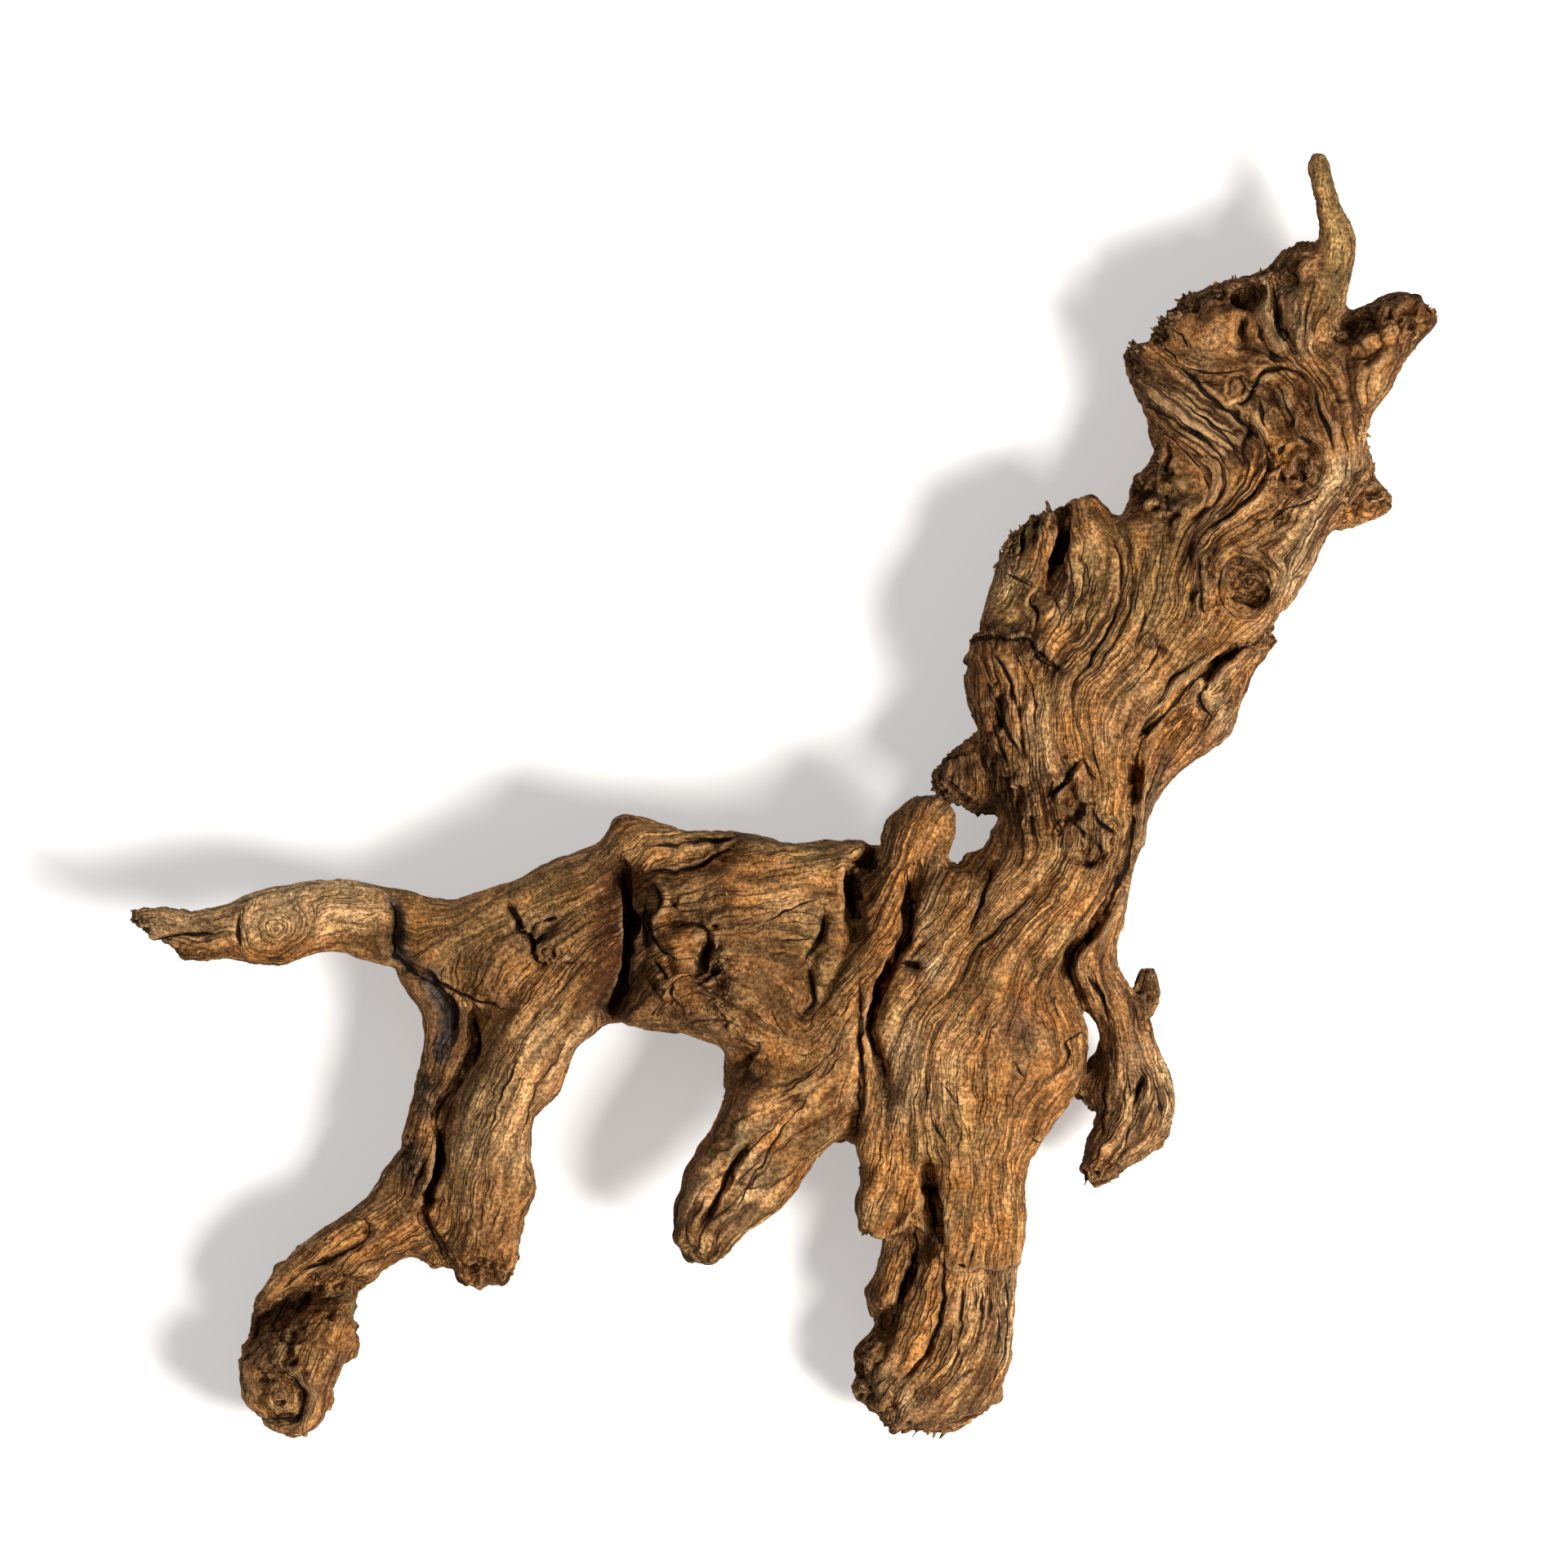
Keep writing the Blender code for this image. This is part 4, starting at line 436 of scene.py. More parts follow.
# Where each tone lies: half width, strength, line
TONES: dict[Tone, tuple[Patch, ...]] = {
    Tone.GREY: (
        (17, 0.75, ((1426, 930), (1412, 980), (1404, 1040), (1392, 1100))),
        (26, 0.35, ((1555, 795), (1510, 860), (1465, 920))), (26, 0.5, ((1238, 1250), (1252, 1262))),
        (10, 1.2, ((480, 1105), (490, 1130), (490, 1165), (500, 1182))),
        (16, 1.3, ((528, 1200), (543, 1230), (546, 1260), (540, 1290))),
        (9, 1.0, ((516, 1420), (512, 1440))), (14, 0.9, ((520, 1325), (522, 1355))),
        (12, 0.8, ((505, 1410), (510, 1445))), (18, 0.4, ((575, 1470), (585, 1500))),
        (9, 0.4, ((1385, 1260), (1395, 1310))), (18, 0.3, ((620, 1130), (690, 1150))),
    ),
    Tone.DARK: (
        (27, 1.0, ((1520, 708), (1528, 724))), (22, 0.9, ((1590, 568), (1592, 584))),
        (14, 0.9, ((1386, 430), (1410, 398), (1440, 372), (1490, 345), (1540, 330))),
        (20, 0.7, ((1480, 372), (1520, 372))), (26, 0.8, ((1655, 400), (1700, 388), (1745, 385))),
        (26, 0.6, ((1540, 490), (1580, 500), (1605, 545))),
        (14, 0.4, ((1228, 690), (1240, 650), (1270, 635))),
        (12, 0.5, ((1208, 1212), (1223, 1180), (1246, 1150))), (20, 0.5, ((1440, 640), (1460, 690))),
        (26, 0.35, ((1240, 1250), (1248, 1310))), (16, 0.6, ((1165, 1415), (1192, 1425))),
        (26, 0.5, ((560, 1560), (600, 1570))), (44, 0.55, ((720, 1080), (640, 1140), (560, 1180))),
        # Painted shade along the hip, in the shadow beside the hump
        (38, 1.3, ((752, 1080), (749, 1160), (742, 1225))),
        # The first of these is painted shade on the top of the body
        (36, 0.35, ((700, 1070), (800, 1040), (890, 1036))), (40, 0.5, ((720, 1110), (705, 1200))),
        (54, 0.55, ((1265, 1225), (1250, 1330))),
        (5, 0.8, ((1160, 1538), (1170, 1550), (1184, 1556), (1192, 1552))),
        (5, 0.7, ((1208, 1553), (1222, 1556))), (22, 0.8, ((872, 1180), (884, 1215))),
        # The first of these is painted shade on the right flank of the crown, below the horn
        (24, 0.6, ((1665, 450), (1650, 500))), (20, 0.9, ((1698, 444), (1722, 418))),
        (28, 0.6, ((1478, 480), (1490, 630))), (24, 0.5, ((1440, 735), (1445, 775))),
        (28, 0.4, ((1395, 845), (1385, 875))), (16, 0.9, ((795, 1236), (865, 1250))),
        (28, 0.9, ((978, 1180), (978, 1240))), (14, 0.7, ((1352, 1130), (1347, 1180), (1362, 1230))),
        (20, 0.7, ((1125, 1748), (1180, 1730), (1200, 1690))), (12, 0.8, ((316, 1588), (330, 1608))),
        (11, 0.7, ((424, 1615), (418, 1670))), (10, 0.7, ((1062, 1080), (1064, 1160))),
        (14, 0.5, ((1492, 425), (1502, 440))), (15, 1.0, ((318, 1630), (346, 1612), (372, 1588))),
        (12, 0.9, ((1190, 782), (1211, 780), (1256, 790), (1275, 812), (1297, 822))),
        # The second of these is painted shade under the flap of the right leg
        (10, 0.8, ((1404, 786), (1418, 794))), (12, 0.9, ((1143, 1500), (1128, 1545), (1110, 1590))),
        (16, 0.8, ((1378, 430), (1382, 470))), (13, 0.9, ((535, 1215), (548, 1245), (540, 1280))),
        (18, 0.3, ((560, 1240), (565, 1290), (545, 1330))),
        (50, 0.52, ((930, 1130), (960, 1180), (930, 1240))), (22, 0.5, ((1050, 1560), (1085, 1620))),
        (18, 0.4, ((540, 1330), (530, 1420), (525, 1480))), (40, 0.3, ((350, 1650), (348, 1710))),
        (18, 0.7, ((1212, 925), (1232, 985), (1250, 1010))), (28, 0.8, ((1175, 935), (1180, 985))),
        (38, 0.6, ((850, 1140), (880, 1220))), (30, 0.6, ((915, 1270), (915, 1320))),
        # The first of these is painted shade down the left edge of the hump
        (20, 0.9, ((784, 1085), (786, 1150), (778, 1225))), (26, 0.5, ((1400, 600), (1440, 620))),
        (22, 0.5, ((1500, 375), (1450, 385))), (26, 0.5, ((1310, 1000), (1345, 1040))),
        (26, 0.75, ((600, 1540), (614, 1500))), (26, 1.0, ((1408, 1190), (1402, 1236))),
        # The first of these is painted shade on the piece that lies in shadow behind the root
        (14, 1.2, ((1335, 1290), (1332, 1350))), (9, 0.9, ((1345, 1370), (1330, 1420))),
        (20, 0.4, ((1520, 500), (1600, 500))),
    ),
    Tone.ORANGE: (
        (14, 0.7, ((250, 1168), (340, 1168), (420, 1155))), (16, 0.5, ((1466, 412), (1478, 425))),
        (18, 0.5, ((1668, 424), (1700, 400))), (16, 0.9, ((1640, 635), (1690, 628))),
        (14, 0.7, ((1530, 825), (1510, 860))), (18, 0.8, ((580, 1555), (622, 1545))),
        (15, 0.8, ((1190, 770), (1198, 850))), (16, 0.6, ((1385, 618), (1392, 655))),
        (22, 0.5, ((1210, 860), (1215, 910))), (24, 0.7, ((1390, 500), (1470, 560), (1560, 575))),
        (30, 0.5, ((1430, 330), (1500, 335))), (24, 0.5, ((1330, 850), (1300, 920))),
        (18, 0.5, ((1300, 1330), (1280, 1380))), (20, 0.4, ((850, 1180), (830, 1210))),
        (14, 0.6, ((1150, 1560), (1135, 1640), (1100, 1690))),
        (14, 0.6, ((1125, 1000), (1105, 1070), (1080, 1150), (1050, 1220))),
        (60, 0.25, ((1200, 1290), (1210, 1360))), (40, 0.35, ((1340, 880), (1320, 960))),
        (12, 0.5, ((700, 1260), (650, 1350), (640, 1400))), (20, 0.4, ((1180, 1440), (1230, 1500))),
        (18, 0.6, ((1195, 1500), (1225, 1535))), (22, 0.4, ((430, 1540), (380, 1580))),
    ),
    Tone.PALE: (
        (14, 0.9, ((300, 1102), (400, 1086), (450, 1085))), (18, 0.5, ((175, 1128), (235, 1138))),
        (16, 0.6, ((1304, 705), (1297, 750))), (13, 0.5, ((1236, 698), (1230, 725))),
        (20, 0.5, ((932, 1430), (900, 1490))), (20, 0.5, ((1088, 1690), (1108, 1722))),
        (14, 0.5, ((1136, 1065), (1130, 1150))), (16, 0.6, ((1475, 850), (1498, 885))),
        (15, 0.6, ((1580, 365), (1595, 420))), (18, 0.5, ((1270, 870), (1278, 935))),
        (16, 0.7, ((1422, 1305), (1428, 1370))), (14, 0.5, ((843, 1475), (866, 1425))),
        (24, 0.4, ((590, 1290), (565, 1400))), (24, 0.6, ((1112, 1270), (1100, 1350))),
        (12, 0.5, ((745, 1225), (700, 1275), (660, 1340))),
        # The first of these is painted light on the lit right edge of the trunk
        (20, 0.8, ((1642, 575), (1605, 645), (1572, 715))), (17, 0.9, ((1122, 1178), (1142, 1184))),
        (7, 0.9, ((912, 1380), (895, 1415))), (7, 0.8, ((938, 1370), (930, 1385))),
        (16, 0.35, ((1480, 420), (1440, 470))), (9, 0.5, ((1545, 350), (1550, 395), (1570, 425))),
        (30, 0.60, ((200, 1125), (300, 1120), (440, 1110))), (30, 0.2, ((1198, 1600), (1180, 1680))),
        (30, 0.3, ((610, 1300), (580, 1420))), (38, 0.45, ((1395, 1310), (1385, 1390))),
        # The second of these brightens the slab below the crown: painted light where it lies in shade
        (22, 0.4, ((665, 1270), (640, 1340), (632, 1410))), (32, 0.45, ((1430, 485), (1485, 545))),
        (26, 0.3, ((1390, 840), (1360, 900))), (40, 0.25, ((1160, 1260), (1140, 1340))),
        (22, 0.35, ((660, 1250), (620, 1330))), (20, 0.3, ((950, 1100), (1000, 1120))),
        (14, 0.6, ((1234, 1560), (1228, 1660))),
    ),
    Tone.OLIVE: (
        (17, 1.0, ((1612, 190), (1640, 290), (1630, 370))), (32, 0.7, ((1330, 690), (1335, 760))),
        (26, 0.6, ((1240, 715), (1240, 765))), (38, 0.6, ((1425, 670), (1415, 750))),
        (20, 0.5, ((620, 1095), (700, 1068), (850, 1018), (1000, 1038))),
        (44, 0.5, ((560, 1150), (680, 1120))), (40, 0.4, ((960, 1120), (1010, 1180))),
        (30, 0.4, ((600, 1330), (570, 1440))),
    ),
}


def smoothstep(low: float, high: float, value: Array) -> Array:
    """Returns 0 below low, 1 above high and a smooth rise between."""
    t = np.clip((value - low) / (high - low), 0.0, 1.0)
    return t * t * (3.0 - 2.0 * t)


def bell(far: Array, width: float, middle: float = 0.0) -> Array:
    """Returns 1 at the middle and a smooth fall to 0 on both sides of it."""
    return np.exp(-(((far - middle) / width) ** 2))


def tapered(at: Array, edge: float, power: float) -> Array:
    """Returns 1 half way along a stroke and a fall towards its ends."""
    return np.sin(np.pi * np.clip(at, edge, 1 - edge)) ** power


def valleys(noise: Array) -> Array:
    """Returns the noise folded at its middle: round ridges with sharp valleys between them."""
    return np.abs(2 * noise - 1) ** 0.75


def rows(*columns: Array) -> Array:
    """Returns the columns side by side, one row for each place."""
    return np.stack(columns, axis=1)


def drawn(place: Array) -> tuple[Array, Array]:
    """Returns where places in metres lie on the drawing."""
    return place[:, 0] / UNIT + DRAWN_MIDDLE[0], DRAWN_MIDDLE[1] - place[:, 1] / UNIT


def metres(x: float, y: float) -> tuple[float, float]:
    """Returns where a point of the drawing lies, in metres."""
    return (x - DRAWN_MIDDLE[0]) * UNIT, (DRAWN_MIDDLE[1] - y) * UNIT


def smooth_line(points: Stroke, step: float) -> Array:
    """Runs a smooth curve through a stroke's points.

    Args:
        points: the given points.
        step: the distance between the points of the curve.

    Returns:
        The curve's points, one row each.
    """
    p = np.array(points, float)
    if len(p) == 2:
        count = max(2, int(np.linalg.norm(p[1] - p[0]) / step) + 1)
        return p[0] + np.linspace(0, 1, count)[:, None] * (p[1] - p[0])
    ends = np.concatenate([[2 * p[0] - p[1]], p, [2 * p[-1] - p[-2]]])
    found = []
    for a, b, c, d in zip(ends, ends[1:], ends[2:], ends[3:]):
        count = max(1, int(round(np.linalg.norm(c - b) / step)))
        t = (np.arange(count) / count)[:, None]
        bend = (2 * a - 5 * b + 4 * c - d) * t**2 + (3 * b - a - 3 * c + d) * t**3
        found.append(0.5 * (2 * b + (c - a) * t + bend))
    return np.concatenate(found + [p[-1:]])


def near_line(x: Array, y: Array, points: Stroke, reach: float) -> tuple[Array, Array, Array]:
    """Measures the places near a stroke.

    Args:
        x, y: the places on the drawing.
        points: the stroke's given points.
        reach: how far from the stroke a place may be.

    Returns:
        The numbers of the places within reach, their signed distance from the curve, and how far along it
        they are, from 0 to 1.
    """
    line = smooth_line(points, LINE_STEP)
    low, high = line.min(0) - reach, line.max(0) + reach
    found = np.nonzero((x > low[0]) & (x < high[0]) & (y > low[1]) & (y < high[1]))[0]
    px, py = x[found], y[found]
    best = np.full(len(found), np.inf)
    side = np.ones(len(found))
    at = np.zeros(len(found))
    lengths = np.linalg.norm(np.diff(line, axis=0), axis=1)
    before = np.concatenate([[0], np.cumsum(lengths)])
    for i, (a, b) in enumerate(zip(line[:-1], line[1:])):
        run = b - a
        t = np.clip(((px - a[0]) * run[0] + (py - a[1]) * run[1]) / max(run @ run, 1e-9), 0, 1)
        far = (px - a[0] - t * run[0]) ** 2 + (py - a[1] - t * run[1]) ** 2
        closer = far < best
        best[closer] = far[closer]
        turn = run[0] * (py - a[1]) - run[1] * (px - a[0])
        side[closer] = np.where(turn[closer] < 0, -1.0, 1.0)
        at[closer] = (before[i] + t[closer] * lengths[i]) / before[-1]
    best = np.sqrt(best)
    kept = best < reach
    return found[kept], (best * side)[kept], at[kept]


def read_values(items: Items, name: str, width: int, kind: type = np.float32) -> Array:
    """Returns one value of every item, as rows of this width."""
    values = np.empty(len(items) * width, kind)
    items.foreach_get(name, values)
    return values.reshape(-1, width)


def write_values(items: Items, name: str, values: Array) -> None:
    """Sets one value of every item."""
    items.foreach_set(name, np.ascontiguousarray(values, np.float32).ravel())


def add_object(name: str, data: bpy.types.ID) -> bpy.types.Object:
    """Returns a new object with this data, linked to the scene."""
    made = bpy.data.objects.new(name, data)
    bpy.context.scene.collection.objects.link(made)
    return made


def run_modifiers(holder: bpy.types.Object) -> bpy.types.Mesh:
    """Returns the object's mesh with its modifiers run, and removes the object."""
    graph = bpy.context.evaluated_depsgraph_get()
    made = bpy.data.meshes.new_from_object(holder.evaluated_get(graph))
    bpy.data.objects.remove(holder)
    return made


def wood_box() -> tuple[Array, Array]:
    """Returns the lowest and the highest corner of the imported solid."""
    low, high = (np.array(corner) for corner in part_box(NODE))
    return low, high


@dataclass
class LatticeNoise:
    """Smooth random values between 0 and 1 that fill space, the same at each run."""

    seed: int
    side: int = 64
    finer: float = 2.03
    shift: Triple = (7.3, 3.1, 5.7)
    angles: Triple = (0.61, 0.93, 1.37)

    def __post_init__(self) -> None:
        """Fills the lattice from the seed."""
        self.table = np.random.default_rng(self.seed).random((self.side,) * 3).astype(np.float32)
        self.turn = np.array(Euler(self.angles).to_matrix()).T

    def __call__(self, x: Array, y: Array, z: Array) -> Array:
        """Returns the value at each place, in lattice steps."""
        last = self.side - 1
        whole, part = [], []
        for axis in (x, y, z):
            low = np.floor(axis)
            f = (axis - low).astype(np.float32)
            whole.append(low.astype(np.int64))
            part.append(f * f * (3 - 2 * f))
        total = np.zeros(len(x), np.float32)
        for i, j, k in np.ndindex(2, 2, 2):
            weight = (part[0] if i else 1 - part[0]) * (part[1] if j else 1 - part[1])
            corner = self.table[(whole[0] + i) & last, (whole[1] + j) & last, (whole[2] + k) & last]
            total += corner * weight * (part[2] if k else 1 - part[2])
        return total

    def layered(self, places: Array, octaves: int, turned: bool = False) -> Array:
        """Returns the mean of finer and finer layers of the noise, each half as strong as the one before.

        Args:
            places: one row of three numbers a place, in lattice steps.
            octaves: the number of layers.
            turned: whether each layer is turned from the last.

        Returns:
            A value between 0 and 1 for each place.
        """
        turn = self.turn if turned else np.eye(3)
        total, weight = np.zeros(len(places)), 0.0
        for i in range(octaves):
            total += self(*(places + np.array(self.shift) * i).T) * 0.5**i
            weight += 0.5**i
            places = self.finer * places @ turn
        return total / weight

    def lumps(self, places: Array, octaves: int, warp: float) -> Array:
        """Returns layered noise on a turned lattice, bent by finer noise as far as warp says."""
        places = places @ self.turn
        if warp:
            q = 1.3 * places + 17.0
            bent = [self(q[:, 0] + 5.0 * i, q[:, 1] - 3.0 * i, q[:, 2] + 9.0 * i) - 0.5 for i in range(3)]
            places = places + 2 * warp * rows(*bent)
        return self.layered(places, octaves, turned=True)


@dataclass
class GrainField:
    """The run of the grain over the drawing, and the two measures across and along it."""

    cell: float = 4.0
    stiffness: float = 7.0
    rounds: int = 160
    beyond: float = 0.03
    near_cells: float = 9.0
    near_weight: Span = (0.0008, 0.004)
    spreads: tuple[Span, ...] = ((2.2, 1.0), (5, 0.12), (12, 0.012), (40, 0.0008))

    def __post_init__(self) -> None:
        """Works out the field from the grain strokes."""
        self.count = int(DRAWN_SIDE / self.cell)
        marks, right, down = self._marks()
        flow = np.zeros((self.count, self.count, 2))
        for cells, gain in self.spreads:
            flow[..., 0] += gain * self.blur(right, cells)
            flow[..., 1] += gain * self.blur(down, cells)
        self.flow = flow / np.maximum(np.linalg.norm(flow, axis=2, keepdims=True), 1e-12)
        weight = np.maximum(smoothstep(*self.near_weight, self.blur(marks, self.near_cells)), self.beyond)
        right, down = self.flow[..., 0], self.flow[..., 1]
        self.across = self._solve(weight, self.stiffness, 1.0, (-down, right)) * self.cell
        self.along = self._solve(weight, 1.0, 0.2, (right, down)) * self.cell

    def blur(self, layer: Array, cells: float) -> Array:
        """Returns the layer blurred by so many cells."""
        f, g = np.fft.fftfreq(self.count), np.fft.rfftfreq(self.count)
        keep = np.exp(-2 * (np.pi * cells) ** 2 * (f[:, None] ** 2 + g[None, :] ** 2))
        return np.fft.irfft2(np.fft.rfft2(layer) * keep, s=layer.shape)

    def _marks(self) -> tuple[Array, Array, Array]:
        """Returns how much of a grain stroke lies in each cell, and the sums of its directions there."""
        weight, right, down = np.zeros((3, self.count, self.count))
        for stroke in GRAIN:
            line = smooth_line(stroke, MARK_STEP)
            run = np.gradient(line, axis=0)
            run /= np.maximum(np.linalg.norm(run, axis=1, keepdims=True), 1e-9)
            column, row = (line / self.cell).astype(int).T
            for layer, value in ((weight, 1.0), (right, run[:, 0]), (down, run[:, 1])):
                np.add.at(layer, (row, column), value)
        return weight, right, down

    def _solve(self, weight: Array, run_pull: float, cross_pull: float, rise: tuple[Array, Array]) -> Array:
        """Finds the measure that changes as asked.

        Args:
            weight: how much each cell counts.
            run_pull: how strongly the measure's change along the grain is held.
            cross_pull: how strongly its change across the grain is held.
            rise: the change that is asked for, right and down, per cell.

        Returns:
            The measure at each cell, in cells.
        """
        dx, dy = self.flow[..., 0], self.flow[..., 1]
        xx = weight * (run_pull * dx * dx + cross_pull * dy * dy)
        xy = weight * (run_pull - cross_pull) * dx * dy
        yy = weight * (run_pull * dy * dy + cross_pull * dx * dx)
        f = 2 - 2 * np.cos(2 * np.pi * np.fft.fftfreq(self.count))
        g = 2 - 2 * np.cos(2 * np.pi * np.fft.rfftfreq(self.count))
        size = f[:, None] + g[None, :]
        size[0, 0] = 1.0
        inverse = 1.0 / size
        inverse[0, 0] = 0.0

        def pull(right: Array, down: Array) -> Array:
            """Returns what the weighted slopes gather at each cell."""
            fx, fy = xx * right + xy * down, xy * right + yy * down
            return np.roll(fx, 1, 1) - fx + np.roll(fy, 1, 0) - fy

        def settle(r: Array) -> Array:
            """Returns a first guess at what would cause r."""
            return np.fft.irfft2(np.fft.rfft2(r) * inverse, s=r.shape)

        r = pull(*rise)
        u = np.zeros_like(r)
        z = settle(r)
        p, rz = z.copy(), float((r * z).sum())
        for _ in range(self.rounds):
            ap = pull(np.roll(p, -1, 1) - p, np.roll(p, -1, 0) - p)
            step = rz / max(float((p * ap).sum()), 1e-30)
            u += step * p
            r -= step * ap
            z = settle(r)
            rz, last = float((r * z).sum()), rz
            p = z + (rz / max(last, 1e-30)) * p
        return u

    def sample(self, layer: Array, x: Array, y: Array) -> Array:
        """Returns the layer's values at places on the drawing, blended between cells."""
        u = np.clip(x / self.cell - 0.5, 0, self.count - 1.001)
        v = np.clip(y / self.cell - 0.5, 0, self.count - 1.001)
        i, j = u.astype(int), v.astype(int)
        a, b = u - i, v - j
        if layer.ndim == 3:
            a, b = a[:, None], b[:, None]
        return (
            layer[j, i] * (1 - a) * (1 - b) + layer[j, i + 1] * a * (1 - b)
            + layer[j + 1, i] * (1 - a) * b + layer[j + 1, i + 1] * a * b
        )


@dataclass
class Surface:
    """Places on the wood, with what the carving and the colours need to know about each of them."""

    grain: GrainField
    noise: LatticeNoise
    place: Array
    normal: Array
    mid_height: Array
    half_height: Array
    side_spread: float = 0.018
    wander: Span = (34.0, 10.0)
    jig: Span = (12.0, 4.0)
    faces_up: Span = (-0.35, 0.25)
    lies_high: Span = (-0.3, 0.2)
    knot_reach: float = 2.2
    knot_hold: Span = (0.7, 1.6)
    unseen_rough: float = 0.8
    unseen_width: float = 0.045
    unseen_edge: Span = (0.56, 0.68)

    def __post_init__(self) -> None:
        """Works out the measures across, along and through the wood."""
        x, y = drawn(self.place)
        z = self.place[:, 2] / UNIT
        wide, fine = rows(x, y, z) / self.wander[0], rows(x, y, z) / self.jig[0]
        dx, dy = (self.noise.layered(wide + shift, 3) - 0.5 for shift in ((0, 0, 3.0), (9.0, 0, 17.0)))
        jx, jy = (self.noise(*(fine + shift).T) - 0.5 for shift in ((0, 0, 31.0), (13.0, 0, 41.0)))
        self.x, self.wx = x, x + self.wander[1] * dx + self.jig[1] * jx
        self.y, self.wy = y, y + self.wander[1] * dy + self.jig[1] * jy
        mid = self.grain.sample(self.mid_height, x, y)
        half = np.maximum(self.grain.sample(self.half_height, x, y), 0.004)
        level = np.clip((self.place[:, 2] - mid) / half, -1.0, 1.0)
        self.depth = self.side_spread * level * (1.5 - 0.5 * level**2)
        self.across = self.grain.sample(self.grain.across, self.wx, self.wy) * UNIT
        self.along = self.grain.sample(self.grain.along, self.wx, self.wy) * UNIT
        self._ring_the_knots()
        self.upper = smoothstep(*self.faces_up, self.normal[:, 2]) * smoothstep(*self.lies_high, level)

    def _ring_the_knots(self) -> None:
        """Bends the measure across the grain into rings round each knot."""
        for knot in KNOTS:
            reach = self.knot_reach * knot.radius
            near = np.nonzero(np.hypot(self.wx - knot.x, self.wy - knot.y) < reach)[0]
            far = knot.rings(self.wx[near], self.wy[near])
            middle = self.grain.sample(self.grain.across, np.array([knot.x]), np.array([knot.y]))[0]
            hold = 1 - smoothstep(*self.knot_hold, far)
            self.across[near] += hold * ((middle + far * knot.radius) * UNIT - self.across[near])

    def run(self) -> tuple[Array, Array]:
        """Returns the way of the grain at each place, and how squarely the surface faces along it."""
        flow = self.grain.sample(self.grain.flow, self.x, self.y)
        way = rows(flow[:, 0], -flow[:, 1], np.zeros(len(flow)))
        return way, (way * self.normal).sum(1)

    def fibres(self, spacing: float, length: float, octaves: int = 1) -> Array:
        """Returns noise drawn out along the grain, with its usual width and length in metres."""
        places = rows(self.across / spacing, self.depth / spacing + 11.0, self.along / length)
        return self.noise.layered(places, octaves)

    def lumps(self, width: float, octaves: int = 2, warp: float = 0.0) -> Array:
        """Returns noise with lumps of this width in metres, the same in all directions."""
        return self.noise.lumps(self.place / width, octaves, warp)

    def spread(self, patches: tuple[Patch, ...]) -> Array:
        """Returns the strongest of the soft patches that lie along the lines, at each place."""
        total = np.zeros(len(self.x))
        for width, strength, points in patches:
            found, far, _ = near_line(self.wx, self.wy, points, 2.2 * width)
            total[found] = np.maximum(total[found], strength * bell(far, width))
        return total

    def eaten(self) -> Array:
        """Returns how eaten the wood is, in the drawn places and in a few on the unseen sides."""
        unseen = self.unseen_rough * smoothstep(*self.unseen_edge, self.lumps(self.unseen_width))
        return np.maximum(self.spread(ROUGH) * self.upper, unseen * (1 - self.upper))


@dataclass(frozen=True)
class Furrow:
    """One size of furrow along the grain, in metres.

    least is the share of its height that is everywhere, more is the share added on ridged wood, and patch
    is the width of the patches in which it comes and goes.
    """

    height: float
    least: float
    more: float
    patch: float
    spacing: float
    length: float

    def depth(self, s: Surface, strong: Array) -> Array:
        """Returns how far each place is raised."""
        patchy = 0.45 + 1.1 * s.lumps(self.patch)
        folded = valleys(s.fibres(self.spacing, self.length)) - 0.4
        return self.height * (self.least + self.more * strong) * patchy * folded


